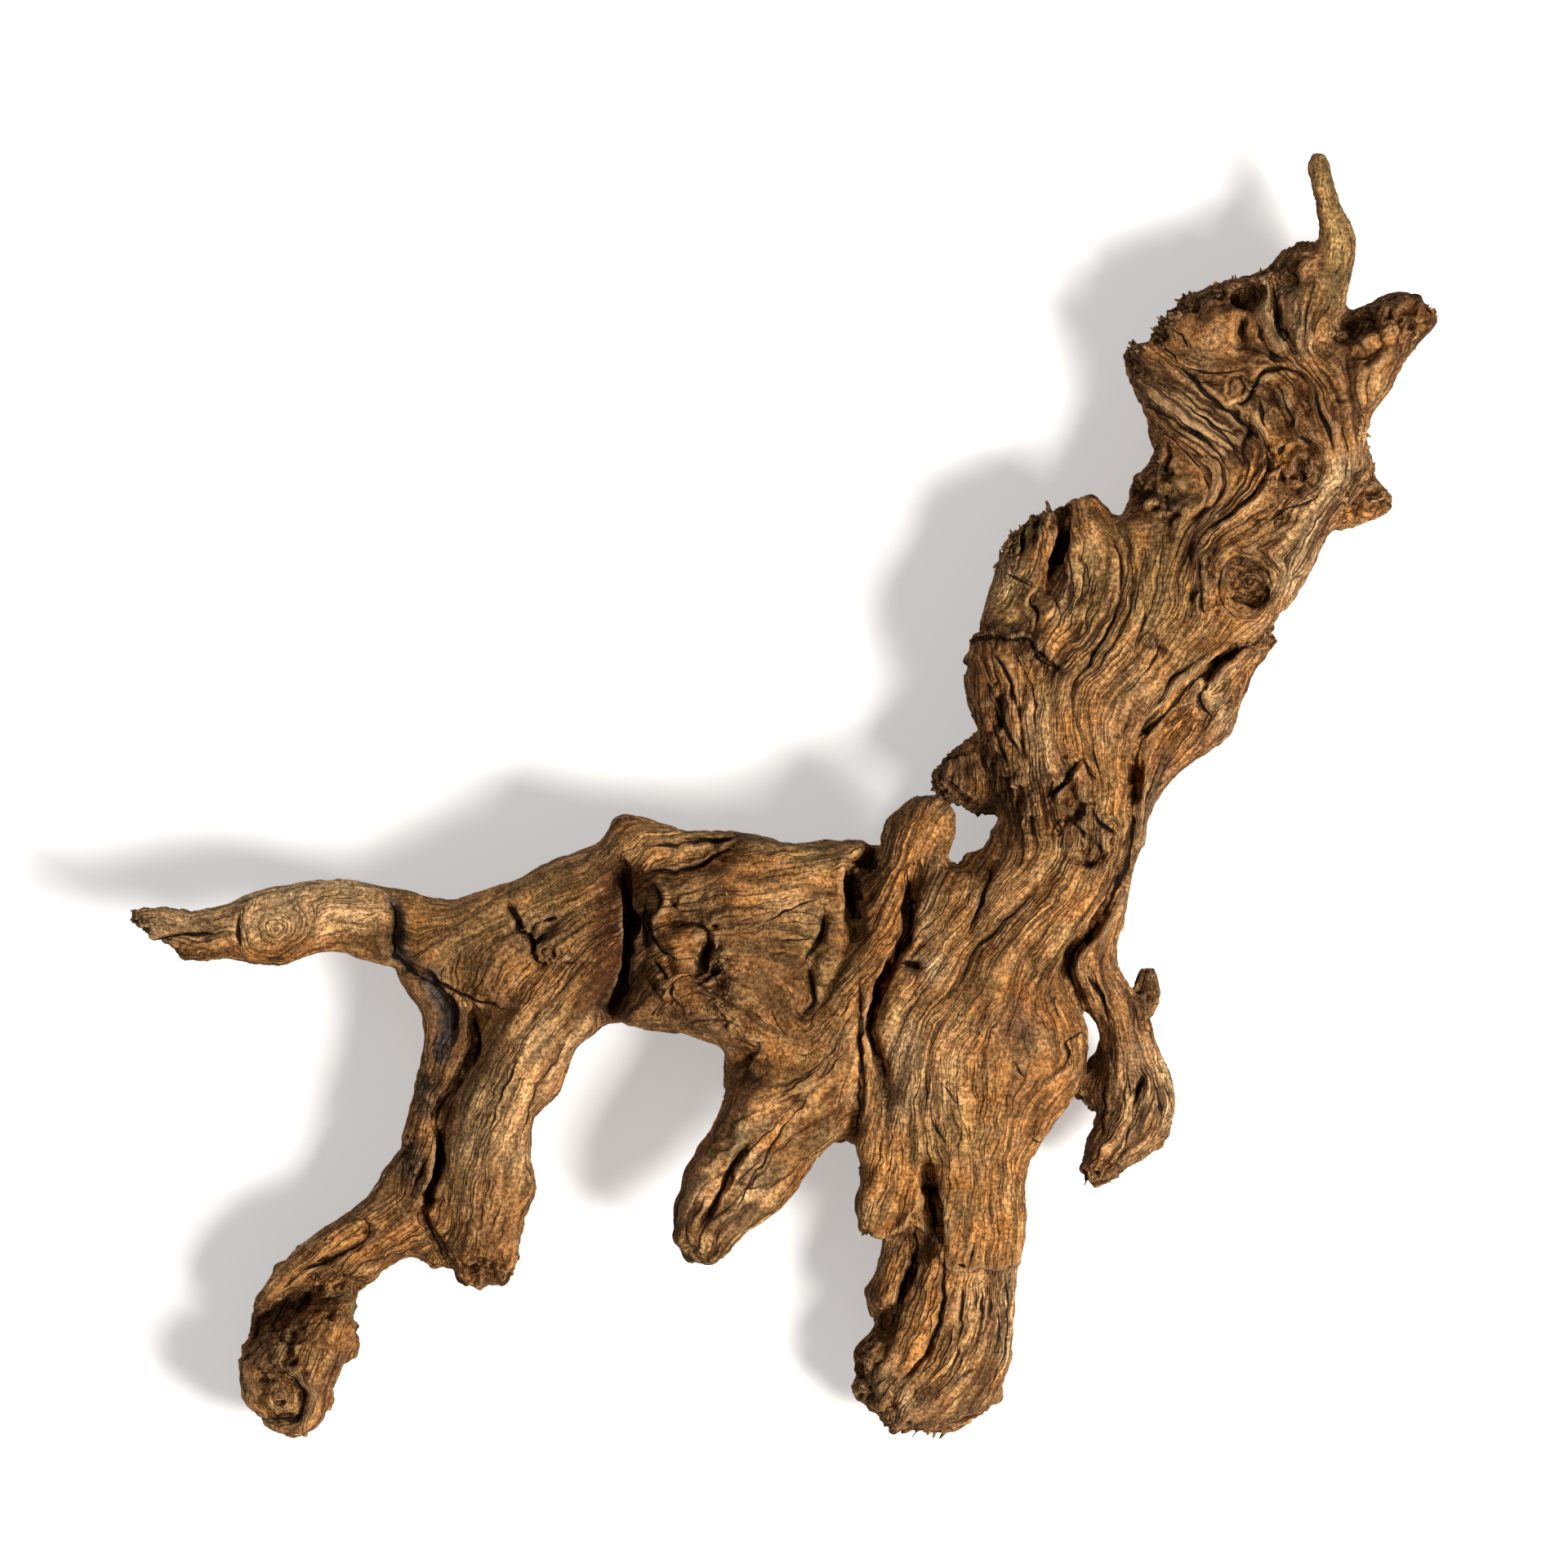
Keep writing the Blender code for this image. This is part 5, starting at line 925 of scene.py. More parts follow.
@dataclass
class Carver:
    """Cuts the cracks, hollows, knots and fibres of the wood."""

    furrows: tuple[Furrow, ...] = (
        Furrow(0.0014, 0.20, 0.80, 0.018, 0.0100, 0.13),
        Furrow(0.0016, 0.0, 1.0, 0.018, 0.0056, 0.08),
        Furrow(0.0012, 0.20, 1.0, 0.011, 0.0030, 0.04),
    )
    thread: float = 0.0007
    thread_size: Span = (0.0014, 0.012)
    swell: float = 0.0020
    swell_width: float = 0.020
    dents: Span = (0.0011, 0.0012)
    dent_width: float = 0.0050
    split_depth: float = 0.0024
    splits: tuple[Span, ...] = ((0.0062, 0.09, 0.05, 0.47), (0.0035, 0.05, 0.07, 0.46))
    crumble: float = 0.0038
    crumb_widths: Span = (0.0085, 0.0042)
    pit_width: float = 0.0052
    pit_edge: Span = (0.56, 0.72)
    shred_size: Span = (0.0034, 0.014)
    torn_length: float = 0.0038
    torn_sizes: tuple[Span, Span] = ((0.0036, 0.03), (0.0017, 0.01))
    torn_facing: Span = (0.25, 0.8)

    def torn_ends(self, s: Surface) -> Array:
        """Returns how far each place is pushed along the grain, which leaves the broken ends ragged."""
        way, facing = s.run()
        end = s.spread(BROKEN) * smoothstep(*self.torn_facing, np.abs(facing)) * np.sign(facing)
        wide, fine = (s.fibres(*size) for size in self.torn_sizes)
        uneven = valleys(wide) - 0.55 + 0.6 * (fine - 0.5)
        return (self.torn_length * end * uneven)[:, None] * way

    def relief(self, s: Surface) -> Array:
        """Returns how far each place stands out from the smooth form, in metres."""
        rough = s.eaten()
        calm = np.minimum(s.spread(CALM), 1.0)
        strong = np.maximum(np.minimum(s.spread(RIDGED), 1.0) * s.upper, 0.10 + 0.70 * (1 - s.upper))
        strong = np.maximum(strong, 0.8 * rough) * (1 - 0.75 * calm)
        out = sum(furrow.depth(s, strong) for furrow in self.furrows)
        out += self.thread * (0.6 + 0.6 * strong) * (s.fibres(*self.thread_size) - 0.5)
        out -= self._splits(s) * (0.12 + 0.88 * strong)
        out *= (1 - 0.4 * rough) * (1 - 0.5 * calm)
        out += rough * self._crumbs(s)
        out += (1 - 0.5 * calm) * self.swell * (s.lumps(self.swell_width) - 0.5)
        dents = self.dents[0] + self.dents[1] * strong
        out += (1 - 0.6 * calm) * dents * (s.lumps(self.dent_width) - 0.5)
        return out + s.upper * self._drawn(s)

    def _splits(self, s: Surface) -> Array:
        """Returns the depth of the long thin splits that open along the grain."""
        deep = np.zeros(len(s.x))
        widest = self.splits[0][0]
        for spacing, length, width, low in self.splits:
            opened = s.noise(s.across / 0.03 + 4, s.depth / 0.03, s.along / 0.07 + spacing * 999)
            line = bell(s.fibres(spacing, length), width, 0.5) * smoothstep(low, low + 0.16, opened)
            deep = np.maximum(deep, line * self.split_depth * spacing / widest)
        return deep

    def _crumbs(self, s: Surface) -> Array:
        """Returns the lumps and pits of eaten wood."""
        wide, fine = self.crumb_widths
        lumps = valleys(s.lumps(wide, 2, 0.35)) + 0.5 * valleys(s.lumps(fine, 1, 0.35))
        pits = smoothstep(*self.pit_edge, s.lumps(self.pit_width, 1, 0.5))
        torn = s.fibres(*self.shred_size, 2) - 0.5
        return self.crumble * (1.2 * (lumps - 0.5) - 0.9 * pits + torn)

    def _drawn(self, s: Surface) -> Array:
        """Returns the cracks, steps, folds, hollows and knots that are listed one by one, in metres."""
        out = np.zeros(len(s.x))
        vary = 0.45 + 1.1 * s.lumps(0.009)
        for half, deep, points in CRACKS:
            width = max(1.15 * half, 2.4)
            found, far, at = near_line(s.wx, s.wy, points, 3.4 * width)
            far = np.abs(far) / (width * (0.6 + 0.4 * vary[found]))
            cut = np.clip(1 - far / 1.7, 0, 1) ** 1.4 - 0.22 * bell(far, 0.8, 2.0)
            out[found] -= deep * min(1.25, 0.3 + 0.3 * half) * vary[found] * tapered(at, 0.02, 0.5) * cut
        for drop, reach, points in STEPS:
            found, far, at = near_line(s.wx, s.wy, points, 2.5 * reach)
            ragged = far + 5.0 * (vary[found] - 1.0)
            low = smoothstep(-0.5, 3.5, ragged) * bell(np.maximum(ragged, 0), reach)
            out[found] += drop * tapered(at, 0.04, 0.4) * (0.35 * bell(ragged, 4, -3) - low)
        for half, rise, points in FOLDS:
            found, far, at = near_line(s.wx, s.wy, points, 2.4 * half)
            far = np.abs(far) / half
            folded = bell(far, 1.0) - 0.45 * bell(far, 0.35, 1.5)
            out[found] += rise * vary[found] * tapered(at, 0.02, 0.5) * folded
        for half, deep, points in HOLLOWS:
            found, far, _ = near_line(s.wx, s.wy, points, 2.2 * half)
            out[found] -= deep * bell(far, half)
        for knot in KNOTS:
            far = knot.rings(s.wx, s.wy)
            near = far < 2.4
            far = far[near] + 0.5 * (vary[near] - 1.0)
            out[near] += knot.boss * (bell(far, 0.62) + 0.7 * bell(far, 0.3, 1.4))
            out[near] -= knot.ring * bell(far, 0.24, 0.95)
        return out * UNIT


@dataclass
class CrackLines:
    """Thin dark lines for the shader: a signed distance and a nearness for each of four sets of cracks."""

    reach: float = 13.0
    sets: int = 4
    farthest: float = 8.0
    free_gap: float = 999.0

    def _gap(self, line: Array, kept: list[Array]) -> float:
        """Returns how far a line keeps from those of a set, or a large number where the set is empty."""
        gaps = [np.linalg.norm(line[:, None] - other[None], axis=2).min() for other in kept]
        return min(gaps, default=self.free_gap)

    def sorted_sets(self) -> list[list[tuple[float, Stroke]]]:
        """Returns the cracks in sets, so that those of one set keep clear of each other."""
        sets: list[list[tuple[float, Stroke]]] = [[] for _ in range(self.sets)]
        lines: list[list[Array]] = [[] for _ in range(self.sets)]
        for half, _, points in CRACKS:
            line = smooth_line(points, LINE_STEP)
            best = int(np.argmax([self._gap(line, kept) for kept in lines]))
            sets[best].append((half, points))
            lines[best].append(line)
        return sets

    def measure(self, s: Surface) -> tuple[Array, Array]:
        """Returns the signed distances in half widths, and the nearness, four of each to a place."""
        side = np.full((len(s.x), self.sets), self.farthest)
        near = np.zeros((len(s.x), self.sets))
        ragged = 2.6 * s.lumps(0.0055) - 0.45
        for i, cracks in enumerate(self.sorted_sets()):
            least = np.full(len(s.x), np.inf)
            for half, points in cracks:
                reach = max(self.reach, 1.8 * half)
                found, far, at = near_line(s.wx, s.wy, points, reach)
                thin = half if half < 3 else 3 + 0.22 * (half - 3)
                width = thin * np.clip(ragged[found], 0.12, 1.6) * tapered(at, 0.004, 0.6)
                closer = np.abs(far) < least[found]
                found, far, width = found[closer], far[closer], width[closer]
                least[found] = np.abs(far)
                side[found, i] = np.clip(far / np.maximum(width, 0.25), -self.farthest, self.farthest)
                near[found, i] = (1 - smoothstep(0.6 * reach, 0.95 * reach, np.abs(far))) * s.upper[found]
        return side, near


@dataclass
class Sheet:
    """Places and links the nodes of one shader or geometry tree."""

    tree: bpy.types.NodeTree

    def add(self, kind: str, **values: object) -> bpy.types.Node:
        """Makes a node.

        Args:
            kind: the kind of node.
            values: what it gets. A name that starts with a capital is an input, with underscores for the
                spaces in it, and any other name is a setting.

        Returns:
            The new node.
        """
        node = self.tree.nodes.new(kind)
        for name, value in values.items():
            if name[0].isupper():
                self.put(node.inputs[name.replace("_", " ")], value)
            else:
                setattr(node, name, value)
        return node

    def put(self, socket: Socket, value: object) -> None:
        """Links another socket to this one, or sets its value."""
        if isinstance(value, Socket):
            self.tree.links.new(value, socket)
        elif value is not None:
            socket.default_value = value

    def _sum(self, kind: str, values: tuple[object, ...], **settings: object) -> Socket:
        """Returns the outcome of a node whose inputs are filled in order."""
        node = self.add(kind, **settings)
        for socket, value in zip(node.inputs, values):
            self.put(socket, value)
        return node.outputs[0]

    def math(self, operation: str, *values: object, clamp: bool = False) -> Socket:
        """Returns the outcome of one sum."""
        return self._sum("ShaderNodeMath", values, operation=operation, use_clamp=clamp)

    def vector(self, operation: str, *values: object) -> Socket:
        """Returns the outcome of one sum of vectors."""
        return self._sum("ShaderNodeVectorMath", values, operation=operation)

    def times(self, a: object, b: object) -> Socket:
        """Returns a times b."""
        return self.math("MULTIPLY", a, b)

    def plus(self, a: object, b: object) -> Socket:
        """Returns a plus b."""
        return self.math("ADD", a, b)

    def less(self, a: object, b: object) -> Socket:
        """Returns a less b."""
        return self.math("SUBTRACT", a, b)

    def most(self, a: object, b: object) -> Socket:
        """Returns the larger of a and b."""
        return self.math("MAXIMUM", a, b)

    def mix(self, factor: object, a: object, b: object, blend: str = "MIX") -> Socket:
        """Returns colour a with colour b over it, as far as factor says."""
        node = self.add("ShaderNodeMix", data_type="RGBA", blend_type=blend)
        self.put(node.inputs[0], factor)
        for socket, value in ((node.inputs[6], a), (node.inputs[7], b)):
            self.put(socket, (*value, 1.0) if isinstance(value, tuple) else value)
        return node.outputs[2]

    def cover(self, colour: object, other: object, mask: object, most: float) -> Socket:
        """Returns the colour with the other over it, at most this much of it where the mask is 1."""
        return self.mix(self.times(mask, most), colour, other)

    def noise(self, vector: object, scale: float, detail: float = 2.0, roughness: float = 0.5) -> Socket:
        """Returns a noise between 0 and 1."""
        values = {"Vector": vector, "Scale": scale, "Detail": detail, "Roughness": roughness}
        return self.add("ShaderNodeTexNoise", **values).outputs["Fac"]

    def ramp(
        self, value: object, low: object, high: object, start: object = 0.0, end: object = 1.0
    ) -> Socket:
        """Returns a smooth rise from start to end as the value goes from low to high."""
        limits = {"From_Min": low, "From_Max": high, "To_Min": start, "To_Max": end}
        node = self.add("ShaderNodeMapRange", interpolation_type="SMOOTHSTEP", Value=value, **limits)
        return node.outputs["Result"]

    def attribute(self, name: str) -> bpy.types.NodeOutputs:
        """Returns what an attribute of the mesh holds."""
        return self.add("ShaderNodeAttribute", attribute_name=name).outputs

    def channels(self, name: str) -> list[Socket]:
        """Returns the four channels of a colour attribute of the mesh."""
        found = self.attribute(name)
        split = self.add("ShaderNodeSeparateColor", Color=found["Color"])
        return [*split.outputs[:3], found["Alpha"]]

    def fibre_lines(self, group: bpy.types.NodeTree, grain: Socket, lines: Span) -> bpy.types.NodeOutputs:
        """Returns what the fibre group gives for lines of this spacing, length and groove width."""
        sizes = {"Spacing": lines[0], "Length": lines[1], "Groove_Width": lines[2]}
        return self.add("ShaderNodeGroup", node_tree=group, Grain=grain, **sizes).outputs

    def wood_shader(self, bump_depth: float, height: Socket, **inputs: object) -> None:
        """Ends the material in a shader with these inputs, raised by the height."""
        bump = self.add("ShaderNodeBump", Strength=1.0, Distance=bump_depth, Height=height)
        shader = self.add("ShaderNodeBsdfPrincipled", Normal=bump.outputs[0], **inputs)
        self.add("ShaderNodeOutputMaterial", Surface=shader.outputs[0])


def empty_material(name: str) -> tuple[bpy.types.Material, Sheet]:
    """Returns a material with no nodes, and the sheet to fill."""
    made = bpy.data.materials.new(name)
    made.use_nodes = True
    made.node_tree.nodes.clear()
    return made, Sheet(made.node_tree)


@dataclass(frozen=True)
class FibreLines:
    """Shader group: fine lines along the grain, as a height, a streak of colour and a mask of grooves.

    The stretches and roughnesses are those of the broad lines, the patches and the grooves.
    """

    stretches: tuple[tuple[Triple, float], ...] = (
        ((0.37, 0.37, 0.6), 0.55), ((0.11, 0.11, 0.5), 0.5), ((0.5, 0.5, 0.5), 0.5),
    )
    grooved: Span = (0.36, 0.52)

    def group(self) -> bpy.types.NodeTree:
        """Returns the group, which both finishes of the wood use."""
        tree = bpy.data.node_groups.new("fibre_lines", "ShaderNodeTree")
        new = tree.interface.new_socket
        new(name="Grain", in_out="INPUT", socket_type="NodeSocketVector")
        for name, value in (("Spacing", 0.001), ("Length", 0.03), ("Groove Width", 0.06)):
            new(name=name, in_out="INPUT", socket_type="NodeSocketFloat").default_value = value
        for name in ("Height", "Streak", "Groove"):
            new(name=name, in_out="OUTPUT", socket_type="NodeSocketFloat")
        s = Sheet(tree)
        given = s.add("NodeGroupInput").outputs
        thin, long = (s.math("DIVIDE", 1.0, given[name]) for name in ("Spacing", "Length"))
        sizes = s.add("ShaderNodeCombineXYZ", X=thin, Y=thin, Z=long)
        stretched = s.vector("MULTIPLY", given["Grain"], sizes.outputs[0])
        fine = s.noise(stretched, 1.0, 3.0, 0.65)
        broad, patch, gap = (
            s.noise(s.vector("MULTIPLY", stretched, stretch), 1.0, 2.0, roughness)
            for stretch, roughness in self.stretches
        )
        line = s.ramp(s.math("ABSOLUTE", s.less(gap, 0.5)), 0.0, given["Groove Width"], 1.0, 0.0)
        groove = s.times(line, s.ramp(patch, *self.grooved))
        height = s.less(s.plus(s.times(fine, 0.9), s.times(broad, 0.5)), s.times(groove, 0.6))
        streak = s.plus(s.times(broad, 0.6), s.times(fine, 0.4))
        s.add("NodeGroupOutput", Height=height, Streak=streak, Groove=groove)
        return tree


@dataclass(frozen=True)
class WeatheredWood:
    """Finish of the wood: brown fibres, painted shade in its grooves, cracks and hollows, pale crests that
    are partly worn and partly painted highlight, and stained patches, of which some dark ones are painted
    shade and some pale ones painted light.
    """

    name: str = "weathered_wood"
    brown: Colour = (0.320, 0.144, 0.040)
    deep: Colour = (0.062, 0.017, 0.003)
    tan: Colour = (0.570, 0.340, 0.158)
    rust: Colour = (0.400, 0.150, 0.032)
    grey: Colour = (0.050, 0.043, 0.036)
    dark: Colour = (0.072, 0.026, 0.007)
    pale: Colour = (0.680, 0.450, 0.225)
    olive: Colour = (0.290, 0.185, 0.068)
    painted_shade_black: Colour = (0.008, 0.004, 0.002)
    groove: Colour = (0.034, 0.010, 0.002)
    fine_lines: Span = (0.0011, 0.013, 0.055)
    broad_lines: Span = (0.0030, 0.050, 0.032)
    score_lines: Span = (0.0015, 0.034, 0.075)
    crumb_stretch: Triple = (330.0, 330.0, 150.0)
    worn_roughness: float = 0.66
    plain_roughness: float = 0.95
    specular: float = 0.12
    bump_depth: float = 0.0011

    def material(self, group: bpy.types.NodeTree) -> bpy.types.Material:
        """Returns the wood's material.

        Args:
            group: the shared group that draws the fibres.

        Returns:
            The material, which reads the mesh's own attributes.
        """
        made, s = empty_material(self.name)
        grain = s.attribute("grain")["Vector"]
        place = s.add("ShaderNodeTexCoord").outputs["Object"]
        lines = s.fibre_lines(group, grain, self.fine_lines)
        broad = s.fibre_lines(group, grain, self.broad_lines)
        scores = s.fibre_lines(group, grain, self.score_lines)
        sunk, raised, crumb, scored = s.channels("wear_and_painted_light")
        busy = s.plus(scored, crumb)
        colour = self._colour(s, place, lines["Streak"], broad["Streak"], busy)
        striped = s.times(s.ramp(scores["Streak"], 0.48, 0.56), s.ramp(scored, 0.8, 1.4))
        colour = s.mix(striped, colour, self.tan)
        # Painted shade: hollows that lie below the wood round them are darkened, the deepest nearly to
        # black.
        colour = s.cover(colour, self.deep, sunk, 0.80)
        colour = s.cover(colour, self.painted_shade_black, s.ramp(sunk, 0.6, 1.0), 0.6)
        # Crests that stand above the wood round them turn tan: partly worn pale wood, partly painted
        # highlight.
        colour = s.cover(colour, self.tan, raised, 0.45)
        cells = self._crumb_cells(s, grain, place)
        crackle = s.times(s.ramp(cells, 0.01, 0.08, 0.9, 0.0), crumb)
        score = s.times(scores["Groove"], s.most(s.math("MINIMUM", scored, 1.0), 0.0))
        groove = s.times(s.most(lines["Groove"], broad["Groove"]), s.ramp(busy, -0.9, 0.8, 0.08, 1.0))
        groove = s.most(groove, s.most(score, crackle))
        # Painted shade: the fine grooves, scores and gaps between crumbs are darkened nearly to black.
        colour = s.cover(colour, self.groove, groove, 0.92)
        specks = s.ramp(s.noise(place, 520.0, 2.0, 0.6), 0.57, 0.66)
        colour = s.mix(s.times(specks, s.plus(0.35, s.times(crumb, 0.4))), colour, self.deep)
        # Painted shade: the drawn cracks are painted near black, as the inside of a crack lies in shade.
        cracks = self._crack_mask(s)
        colour = s.cover(colour, self.painted_shade_black, cracks, 0.96)
        worn = s.plus(s.times(lines["Streak"], 0.6), s.times(s.noise(place, 260.0, 3.0, 0.6), 0.4))
        roughness = s.ramp(worn, 0.3, 0.75, self.plain_roughness, self.worn_roughness)
        roughness = s.math("ADD", roughness, s.times(sunk, 0.15), clamp=True)
        height = s.plus(s.times(lines["Height"], 1.1), s.times(broad["Height"], 0.8))
        height = s.less(height, s.times(groove, 0.7))
        height = s.plus(height, s.times(s.times(s.ramp(cells, 0.0, 0.45), crumb), 1.3))
        grit = s.times(s.noise(place, 620.0, 4.0, 0.7), s.plus(1.1, s.times(crumb, 1.4)))
        height = s.less(s.plus(height, grit), s.times(cracks, 1.6))
        finish = {"Base_Color": colour, "Roughness": roughness, "Specular_IOR_Level": self.specular}
        s.wood_shader(self.bump_depth, height, **finish)
        return made

    def _colour(self, s: Sheet, place: Socket, fine: Socket, broad: Socket, busy: Socket) -> Socket:
        """Returns the colour of the wood before its stripes, the painted shade and highlights of its
        hollows, crests and grooves, and its cracks, plainer where it isn't busy.
        """
        stripes = s.ramp(busy, -0.6, 0.8, 0.02, 0.55)
        colour = s.mix(s.times(s.ramp(broad, 0.60, 0.34), stripes), self.brown, self.deep)
        colour = s.mix(s.times(s.ramp(broad, 0.5, 0.68), stripes), colour, self.tan)
        for noise, edge, most, shade in (
            ((150.0, 4.0, 0.65), (0.40, 0.64), 0.30, self.tan),
            ((34.0, 4.0, 0.6), (0.48, 0.66), 0.52, self.rust),
            ((52.0, 3.0, 0.6), (0.5, 0.68), 0.5, self.olive),
            ((75.0, 4.0, 0.65), (0.5, 0.36), 0.45, self.deep),
        ):
            colour = s.cover(colour, shade, s.ramp(s.noise(place, *noise), *edge), most)
        grey, dark, orange, pale = s.channels("stains_and_painted_light")
        ragged = s.ramp(s.noise(place, 330.0, 4.0, 0.7), 0.25, 0.6, 0.55, 1.0)
        # Some of the dark patches are painted shade and some of the pale ones painted light.
        for mask, shade, most in (
            (s.attribute("moss_stain")["Fac"], self.olive, 0.85),
            (orange, self.rust, 0.85),
            (pale, self.pale, 0.8),
            (dark, self.dark, 0.85),
            (grey, self.grey, 0.9),
        ):
            colour = s.cover(colour, shade, s.times(mask, ragged), most)
        grit = s.ramp(s.noise(place, 700.0, 4.0, 0.75), 0.36, 0.64, 0.40, 1.6)
        shade = s.times(s.ramp(fine, 0.38, 0.62, 0.42, 1.5), grit)
        even = s.add("ShaderNodeCombineColor", Red=shade, Green=shade, Blue=shade)
        return s.mix(1.0, colour, even.outputs[0], "MULTIPLY")

    def _crumb_cells(self, s: Sheet, grain: Socket, place: Socket) -> Socket:
        """Returns how far inside its crumb each place of eaten wood lies, 0 between the crumbs."""
        stretched = s.vector("MULTIPLY", grain, self.crumb_stretch)
        warp = s.add("ShaderNodeTexNoise", Vector=place, Scale=300.0)
        moved = s.vector("ADD", stretched, warp.outputs["Color"])
        cells = s.add("ShaderNodeTexVoronoi", feature="DISTANCE_TO_EDGE", Vector=moved, Scale=1.0)
        return cells.outputs["Distance"]

    def _crack_mask(self, s: Sheet) -> Socket:
        """Returns 1 on the drawn cracks and 0 elsewhere."""
        total = None
        for far, close in zip(s.channels("crack_side"), s.channels("crack_near")):
            line = s.times(s.ramp(s.math("ABSOLUTE", far), 0.45, 1.15, 1.0, 0.0), close)
            total = line if total is None else s.most(total, line)
        return total


@dataclass(frozen=True)
class TornFinish:
    """Finish of the torn fibres: dry wood, pale where it broke."""

    name: str = "torn_fibre"
    dark: Colour = (0.060, 0.026, 0.010)
    pale: Colour = (0.380, 0.220, 0.090)
    lines: Span = (0.0012, 0.003, 0.1)
    roughness: float = 0.9
    specular: float = 0.2
    bump_depth: float = 0.0003

    def material(self, group: bpy.types.NodeTree) -> bpy.types.Material:
        """Returns the material of the torn fibres, with the shared group drawing its streaks."""
        made, s = empty_material(self.name)
        place = s.add("ShaderNodeTexCoord").outputs["Object"]
        lines = s.fibre_lines(group, place, self.lines)
        tone = s.plus(s.times(lines["Streak"], 0.5), s.times(s.noise(place, 60.0), 0.5))
        colour = s.mix(s.ramp(tone, 0.38, 0.62), self.dark, self.pale)
        finish = {"Base_Color": colour, "Roughness": self.roughness, "Specular_IOR_Level": self.specular}
        s.wood_shader(self.bump_depth, lines["Height"], **finish)
        return made


@dataclass(frozen=True)
class StudioFloor:
    """Finish of the plain pale floor."""

    name: str = "pale_floor"
    shade: float = 0.86
    glow: float = 0.38

    def material(self) -> bpy.types.Material:
        """Returns the floor's material."""
        made = bpy.data.materials.new(self.name)
        made.use_nodes = True
        for name, value in (
            ("Base Color", (self.shade, self.shade, self.shade, 1)),
            ("Roughness", 0.9),
            ("Specular IOR Level", 0.1),
            ("Emission Color", (1, 1, 1, 1)),
            ("Emission Strength", self.glow),
        ):
            made.node_tree.nodes["Principled BSDF"].inputs[name].default_value = value
        return made


